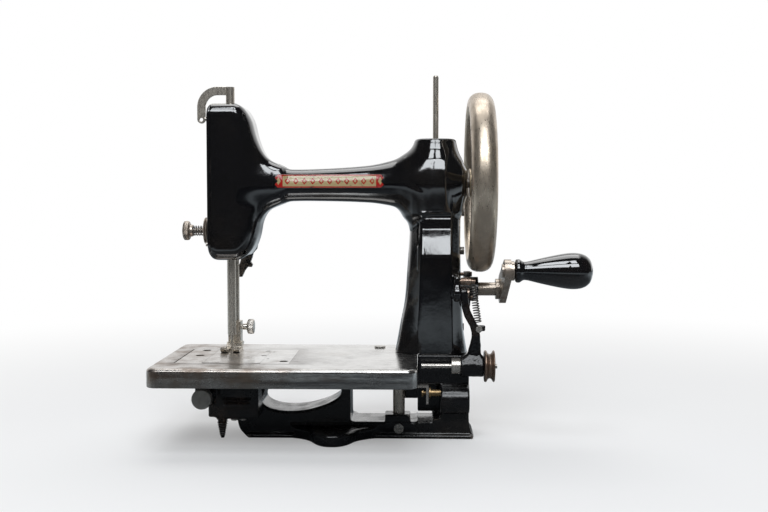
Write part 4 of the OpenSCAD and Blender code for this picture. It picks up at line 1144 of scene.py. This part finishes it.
def worn_metal(name, base, rough, tarnish, amount, scale, where=(0.50, 0.72), streak="none",
               lines=5e-6, pit=0.35, darken=0.5, tint=None, left_bias=None, metal=0.82,
               front=0.0):
    """aged metal; amount and where set the tarnish, scale the size of its blots,
    left_bias (x start, x end, strength) adds tarnish at the left"""
    mat = new_material(name)
    fine_stretch, coarse_stretch, blot_stretch = STREAKS[streak]
    blot = mat.noise(scale=scale, detail=7, rough=0.66, stretch=blot_stretch, distort=0.4)
    if left_bias:
        start, end, strength = left_bias
        blot = mat.add(blot, mat.ramp(mat.axis(0), (start, end), (strength, 0.0)))
    line = mat.noise(scale=1900, detail=3, rough=0.6, stretch=fine_stretch)
    coarse = mat.noise(scale=900, detail=3, rough=0.55, stretch=coarse_stretch,
                       shift=(0.3, 0.8, 0.1))
    mottle = mat.noise(scale=scale * 3.2, detail=4, rough=0.6, shift=(5, 2, 3))
    color = mat.mix(mat.ramp(mottle, (0.30, 0.72), (0, darken)), base, scaled(base, 0.52))
    color = mat.mix(mat.ramp(coarse, (0.40, 0.80), (0, 0.22 * darken)), color,
                    scaled(base, 0.55))
    # painted dark reflection: front-facing surfaces darkened in grey and brown streaks
    if front:
        color = front_wear_and_painted_reflection(mat, color, front)
    if tint:
        tinted = mat.patches((0.48, 0.68), (0, 0.75), scale=scale * 0.8, detail=5, rough=0.6,
                             shift=(8, 3, 2))
        color = mat.mix(tinted, color, tint)
    stain = mat.mul(mat.ramp(blot, where), amount, clamp=True)
    stain = mat.mul(stain, mat.ramp(mottle, (0.35, 0.60), (0.45, 1.0)))
    color = mat.mix(stain, color, tarnish)
    # dirt in the hollows, bright metal on the edges
    edge = mat.ramp(mat.geometry("Pointiness"), (0.50, 0.56))
    crease = mat.ramp(mat.geometry("Pointiness"), (0.49, 0.44))
    color = mat.mix(mat.mul(crease, 0.65), color, scaled(tarnish, 0.30))
    color = mat.mix(mat.mul(edge, 0.25), color, scaled(base, 1.15))
    pits = mat.mul(mat.ramp(mat.voronoi(520), (0.16, 0.07)),
                   mat.patches((0.52, 0.66), scale=scale * 2.2, detail=4, rough=0.6,
                               shift=(1, 9, 4)))
    color = mat.mix(mat.mul(pits, pit), color, (0.055, 0.035, 0.022))
    roughness = mat.mix_value(mat.ramp(coarse, (0.3, 0.7)), rough[0], rough[1])
    roughness = mat.add(roughness, mat.mul(stain, 0.22))
    roughness = mat.add(roughness, mat.mul(mat.ramp(mottle, (0.5, 0.75)), 0.10), clamp=True)
    normal = mat.bumps([
        (line, lines), (coarse, lines * 1.8),
        (mat.noise(scale=60, detail=2, rough=0.5, shift=(2, 2, 2)), 0.00003),
        (mat.mul(pits, -1.0), 0.000012)])
    return mat.principled({"Base Color": color, "Roughness": roughness, "Metallic": metal,
                           "Normal": normal})


def printed_band():
    """gold ground, red border, pointed ends and a row of red lozenges.

    The UV map has v from 0 to 1 across the band and u in band heights along it.
    """
    mat = new_material("transfer_band")
    uv = mat.split(mat.node("UVMap", uv_map="band").outputs[0])
    half = BAND_LENGTH / BAND_HEIGHT / 2

    def distance(value, centre):
        return mat.math("ABSOLUTE", mat.sub(value, centre))

    def step(value, start, end):
        return mat.ramp(value, (start, end), smooth=False)

    def invert(value):
        return mat.sub(1.0, value)

    along, across = distance(uv[0], half), distance(uv[1], 0.5)
    # outer shape: band with arrow ends
    end = mat.sub(half - 0.04, mat.mul(distance(across, 0.25), 0.9))
    shape = mat.mul(step(mat.sub(end, along), -0.01, 0.02), step(across, 0.485, 0.465))
    border = mat.window(across, (0.37, 0.385), (0.44, 0.425), smooth=False)
    border = mat.mul(border, step(along, half - 0.50, half - 0.52))
    crossbar = mat.window(along, (half - 0.62, half - 0.60), (half - 0.50, half - 0.52),
                          smooth=False)
    diamond = mat.add(mat.mul(distance(along, half - 0.30), 1.6), across)
    diamond = step(diamond, 0.30, 0.27)
    # a row of open lozenges, 0.62 apart
    cell = distance(mat.math("FRACT", mat.math("DIVIDE", uv[0], 0.62)), 0.5)
    lozenge = mat.add(mat.mul(cell, 1.0), mat.mul(distance(across, 0.0), 1.35))
    hole = mat.add(mat.mul(cell, 1.0), mat.mul(across, 1.35))
    lozenge = mat.mul(step(lozenge, 0.36, 0.33), invert(step(hole, 0.17, 0.14)))
    row = mat.mul(lozenge, step(along, half - 0.74, half - 0.78), clamp=True)
    red_area = mat.math("MAXIMUM", mat.math("MAXIMUM", border, crossbar),
                        mat.math("MAXIMUM", diamond, row))
    gold = mat.mix(mat.noise(scale=160, detail=5, rough=0.7),
                   (0.36, 0.27, 0.13), (0.46, 0.37, 0.20))
    red = mat.mix(mat.noise(scale=200, detail=4, rough=0.6),
                  (0.30, 0.008, 0.006), (0.42, 0.018, 0.012))
    ground = mat.mix(mat.math("GREATER_THAN", along, half - 0.52), gold, red)
    ground = mat.mix(diamond, ground, gold)
    color = mat.mix(mat.mul(red_area, invert(diamond)), ground, red)
    color = mat.mix(step(across, 0.43, 0.445), color, red)
    worn = mat.patches((0.58, 0.66), scale=260, detail=7, rough=0.75, distort=0.3)
    kept = mat.mul(shape, invert(mat.mul(worn, 0.75)))
    color = mat.mix(kept, (0.006, 0.005, 0.005), color)
    roughness = mat.mix_value(mat.noise(scale=120, detail=4, rough=0.6), 0.14, 0.32)
    normal = mat.bumps([(mat.noise(scale=150, detail=2, rough=0.5), 0.0001)])
    return mat.principled({"Base Color": color, "Roughness": roughness, "Metallic": 0.0,
                           "Normal": normal, "Coat Weight": 0.5, "Coat Roughness": 0.08})


MATERIALS = {
    "enamel": enamel("stoved_black_enamel", hollow=True),
    "enamel_flat": enamel("black_enamel_on_flat_plate", chips=0.0),
    "enamel_cast": enamel(
        "black_enamel_on_casting", wave=0.0001, rough=0.17, chips=0.9,
        haze=(0.026, 0.019, 0.014), haze_amount=0.45, cast=0.25, coat=0.25, spec=0.5),
    "enamel_rough": enamel(
        "black_paint_rough_cast", wave=0.0002, rough=0.15, chips=1.0,
        haze=(0.045, 0.028, 0.018), haze_amount=0.6, cast=0.8, coat=0.25, spec=0.45),
    "bed": worn_metal(
        "bed_nickel", base=(0.64, 0.63, 0.61), rough=(0.12, 0.26), tarnish=(0.19, 0.12, 0.075),
        amount=0.75, scale=17, streak="X", left_bias=(-0.207, -0.09, 0.20), darken=0.36,
        lines=3e-6, front=0.7, metal=0.97),
    "nickel": worn_metal(
        "old_nickel", base=(0.56, 0.53, 0.49), rough=(0.18, 0.32), tarnish=(0.15, 0.095, 0.055),
        amount=0.5, scale=45, darken=0.35, lines=4e-6),
    "bar": worn_metal(
        "bar_steel", base=(0.60, 0.55, 0.48), rough=(0.22, 0.34), tarnish=(0.28, 0.21, 0.14),
        amount=0.45, scale=60, streak="Z", darken=0.12, lines=1.5e-6, metal=0.78, pit=0.1),
    "wheel": worn_metal(
        "wheel_nickel", base=(0.62, 0.53, 0.43), rough=(0.24, 0.38),
        tarnish=(0.24, 0.155, 0.085), amount=0.62, where=(0.44, 0.70), scale=24,
        streak="turned", tint=(0.46, 0.36, 0.21)),
    "steel": worn_metal(
        "oiled_steel", base=(0.27, 0.255, 0.24), rough=(0.22, 0.40),
        tarnish=(0.09, 0.055, 0.035), amount=0.6, scale=60, darken=0.45),
    "brass": worn_metal(
        "aged_brass", base=(0.34, 0.235, 0.12), rough=(0.22, 0.38),
        tarnish=(0.12, 0.065, 0.025), amount=0.65, scale=70),
    "copper": worn_metal(
        "copper_worn", base=(0.27, 0.19, 0.145), rough=(0.22, 0.36),
        tarnish=(0.085, 0.045, 0.025), amount=0.75, where=(0.42, 0.66), scale=80,
        streak="turned", tint=(0.36, 0.31, 0.26)),
    "nickel_brown": worn_metal(
        "nickel_tarnished", base=(0.47, 0.41, 0.35), rough=(0.20, 0.34),
        tarnish=(0.20, 0.125, 0.08), amount=0.8, where=(0.40, 0.66), scale=40, darken=0.3,
        lines=3e-6),
    "matte_nickel": worn_metal(
        "matte_nickel", base=(0.42, 0.405, 0.38), rough=(0.36, 0.50),
        tarnish=(0.20, 0.15, 0.10), amount=0.35, scale=60, streak="turned", darken=0.3,
        lines=6e-6),
    "lacquer": enamel(
        "black_lacquer_wood", wave=0.00004, peel=0.000005, rough=0.05, chips=0.25,
        haze=(0.03, 0.02, 0.014), haze_amount=0.2, coat=0.9),
    "band": printed_band(),
}


# ------------------------------------------------------------------ pieces on their bodies
def paint(obj, material):
    obj.data.materials.clear()
    obj.data.materials.append(MATERIALS[material])


def add(obj, body, material, slot, *replaced):
    paint(obj, material)
    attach(obj, body)
    if replaced:
        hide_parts(*replaced)


def add_spring(name, start, end, radius, wire, turns, replaced, fixed_end):
    """coil between a point on the frame and a point on a moving body, baked in place and attached
    to neither
    """
    coil = make_coil(name, start, end, radius, wire, turns)
    paint(coil, "steel")
    start, end = (tuple(c * MM for c in point) for point in (start, end))
    if fixed_end:
        start, end = end, start
    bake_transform(coil)
    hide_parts(replaced)


# name, shape, box corners, grid cell for a quick and a full build, then add()'s arguments
for name, shape, lo, hi, cells, *finish in [
        ("arm_body", arm_shape, (-174, -37, 64), (24, 26, 259.5), (1.25, 0.9),
         "frame", "enamel", "black_enamel", "arm_casting"),
        ("head_face_plate", face_plate_shape, (-177, -21, 136), (-172.5, 26, 259.5),
         (0.9, 0.6), "frame", "enamel", "black_enamel", "face_plate"),
        ("base_casting", base_shape, (-155, -53, -0.5), (30, 53, 65.5), (1.3, 0.95),
         "frame", "enamel_cast", "black_enamel", "base_frame"),
        ("winder_bracket", winder_bracket_shape, (18, -37, 49), (39, -19, 120), (0.7, 0.5),
         "winder", "enamel_rough", "black_enamel", "winder_arm"),
        ("looper_case", looper_case_shape, (-182, -60, 17), (-132, -16, 52), (0.9, 0.62),
         "frame", "enamel_rough", "black_enamel", "looper_housing")]:
    add(sdf_object(name, shape, lo, hi, cells[1]), *finish)

add(make_bed(), "frame", "bed", "nickel", "bed_plate")
add(make_wheel(), "arm_drive", "wheel", "nickel", "handwheel")
add(make_grip(), "grip", "lacquer", "lacquered_wood", "handle_grip")
add(make_take_up(), "needle_assembly", "bar", "nickel", "take_up_hook")
add(make_pulley(), "winder_drive", "copper", "brass", "winder_pulley")
add(make_foot(), "presser", "bar", "nickel", "presser_foot")
add(make_tension_nut(), "tension_adjuster", "nickel_brown", "nickel", "tension_nut")
add(make_foot_screw(), "presser", "nickel", "nickel", "foot_screw")
add(make_stitch_dial(), "stitch_adjuster", "matte_nickel", "nickel", "stitch_knob")
add(make_tension_post(), "frame", "enamel_rough", "black_enamel", "looper_tension")
add(make_tension_wire(), "frame", "steel", "steel")
add(make_case_screws(), "frame", "nickel", "nickel")
add(make_ornament(), "frame", "band", "black_enamel")
add(make_spring_screw(), "winder", "nickel", "steel")
add(make_coil("tension_coil", (-190.45, 0, 160), (-180.3, 0, 160), radius=3.6, wire=0.5, turns=6),
    "frame", "steel", "steel", "tension_spring")
add_spring("presser_coil", (NEEDLE_X, PRESSER_Y, 168.4), (NEEDLE_X, PRESSER_Y, 249.2),
           radius=4.05, wire=0.45, turns=14, replaced="presser_spring",
           fixed_end=True)
add_spring("winder_coil", (27.9, WINDER_Y, 119.0), (32.0, WINDER_Y, 91.8),
           radius=2.35, wire=0.46, turns=15, replaced="winder_spring",
           fixed_end=False)

# parts of the design shown as they are: finish by slot, unless the part has its own
SLOT_FINISH = {"black_enamel": "enamel", "nickel": "nickel", "steel": "steel",
               "brass": "brass", "lacquered_wood": "lacquer"}
FINISH_PARTS = {
    "nickel": ["regulator_lever"],
    "bar": ["needle_bar", "presser_bar", "spool_pin", "needle", "support_post"],
    "bed": ["needle_plate", "hinged_plate", "insert_plate"],
    "copper": ["bearing_screws", "winder_studs"],
    "enamel_cast": ["crank_bearing", "presser_lifter"],
    "nickel_brown": ["tension_parts", "crank_arm", "handle_spindle", "crank_shaft"],
    "enamel_flat": ["rear_cover"]}
# width of the eased edges, mm; other parts have 0.14
EASE_PARTS = {
    0.7: ["crank_arm"],
    0.6: ["crank_bearing"],
    0.5: ["handle_spindle", "rear_cover", "presser_lifter"],
    0.35: ["winder_spindle", "regulator_lever"],
    0.3: ["crank_shaft", "needle_crank"],
    0.25: ["spool_pin"],
    0.2: ["support_post", "needle_bar", "presser_bar", "regulator_stud", "looper"],
    0.12: ["needle_plate", "hinged_plate", "insert_plate", "feed_dog"]}
NOT_EASED = ("presser_spring", "winder_spring", "tension_spring", "arm_casting", "base_frame",
             "bed_plate", "handwheel")

part_finish = {part: finish for finish, parts in FINISH_PARTS.items() for part in parts}
part_ease = {part: width for width, parts in EASE_PARTS.items() for part in parts}
part_slot = {sub["node"]: sub["material_slot"] for sub in frame["record"]["subparts"]}
for part, obj in CAD_PARTS.items():
    paint(obj, part_finish.get(part, SLOT_FINISH[part_slot[part]]))
    if part not in NOT_EASED:
        bevel(obj, part_ease.get(part, 0.14), 38, name="ease")


# ------------------------------------------------------------------ studio
def make_floor():
    """white paper that fades to pure white away from the machine"""
    reach = 4000
    floor = make_object("studio_floor", [(-reach, -reach, 0), (reach, -reach, 0),
                                         (reach, reach, 0), (-reach, reach, 0)],
                        [(0, 1, 2, 3)], smooth=False)
    mat = new_material("studio_paper")
    color = mat.mix(mat.patches((0.3, 0.7), scale=3, detail=2, rough=0.5),
                    (0.86, 0.86, 0.86), (0.84, 0.84, 0.845))
    radius = mat.node("VectorMath", {0: mat.co}, operation="LENGTH").outputs["Value"]
    far = mat.ramp(radius, (0.12, 0.95), (0.30, 1.0))
    # painted reflection: to glossy rays the paper is darkened near the machine and tinted blue,
    # with a dim lit ring further out in front
    ray = mat.node("LightPath").outputs
    glossy = ray["Is Glossy Ray"]
    ring = mat.mul(mat.ramp(radius, (0.40, 0.66), (0.04, 0.42)),
                   mat.ramp(radius, (1.15, 0.80), (0.02, 1.0)))
    near = mat.mix_value(mat.ramp(mat.axis(1), (-0.10, -0.35)),
                         mat.ramp(radius, (0.25, 0.60), (0.15, 1.0)), ring)
    shade = mat.mix_value(glossy, 1.0, near)
    tint = mat.mix(glossy, (1, 1, 1), (0.86, 0.95, 1.0))
    color = mat.mix(shade, (0.012, 0.012, 0.014), color)
    color = mat.mix(1.0, color, tint, blend="MULTIPLY")
    paper = mat.node("BsdfDiffuse", {"Color": color})
    white = mat.node("Emission", {"Color": (1, 1, 1), "Strength": 1.0})
    mat.surface(mat.node("MixShader", {0: mat.mul(far, ray["Is Camera Ray"]),
                                       1: paper.outputs[0], 2: white.outputs[0]}))
    floor.data.materials.append(mat.owner)


def make_world():
    """white to the camera; otherwise bright only towards the back (+Y)"""
    world = bpy.data.worlds.new("studio")
    bpy.context.scene.world = world
    sky = Shader(world, "World", "Generated")
    direction = sky.split(sky.co)
    strength = sky.mul(sky.ramp(direction[1], (0.20, 0.66), (0.03, 1.0)),
                       sky.ramp(direction[2], (0.25, 0.95), (1.0, 0.55)))
    lit, white = (sky.node("Background", {"Color": (1, 1, 1), "Strength": s}).outputs[0]
                  for s in (strength, 1.0))
    camera_ray = sky.node("LightPath").outputs["Is Camera Ray"]
    sky.surface(sky.node("MixShader", {0: camera_ray, 1: lit, 2: white}))


def softbox(name, location, target, width, height, power, color=(1, 1, 1)):
    light = bpy.data.lights.new(name, "AREA")
    light.shape = "RECTANGLE"
    light.size, light.size_y = width, height
    light.energy = power
    light.color = color
    obj = place(name, light)
    obj.location = location
    aim = Vector(target) - Vector(location)
    obj.rotation_euler = aim.to_track_quat("-Z", "Y").to_euler()


def make_lights():
    """a tall window with four panes in front and above, and a soft top light"""
    distance, centre_z = 1.9, 0.15
    # azimuth and elevation in degrees, width, power
    panes = [(-15, 37, 0.70, 8.2), (13, 37, 0.70, 8.2), (-17, 60, 0.42, 5.0), (15, 60, 0.42, 5.0)]
    for i, (azimuth, elevation, width, power) in enumerate(panes):
        a, e = math.radians(azimuth), math.radians(elevation)
        location = (math.sin(a) * math.cos(e) * distance, -math.cos(a) * math.cos(e) * distance,
                    centre_z + math.sin(e) * distance)
        softbox("window_pane_%d" % (i + 1), location, target=(0, 0, centre_z), width=width,
                height=0.62, power=power, color=(0.93, 0.965, 1.0))
    softbox("overhead", (-0.1, 0.6, 1.9), target=(-0.05, 0, 0.1), width=1.6, height=1.2,
            power=14)


def make_camera():
    data = bpy.data.cameras.new("camera")
    data.sensor_width = 36
    data.lens = 49.2
    data.clip_start = 0.02
    camera = place("camera", data)
    camera.location = (-0.016, -0.822, 0.184)
    view = Vector((-0.0295, 1.0, -0.0533))
    camera.rotation_euler = view.to_track_quat("-Z", "Y").to_euler()
    bpy.context.scene.camera = camera


make_floor()
make_world()
make_lights()
make_camera()
bpy.context.scene.view_settings.view_transform = "Standard"
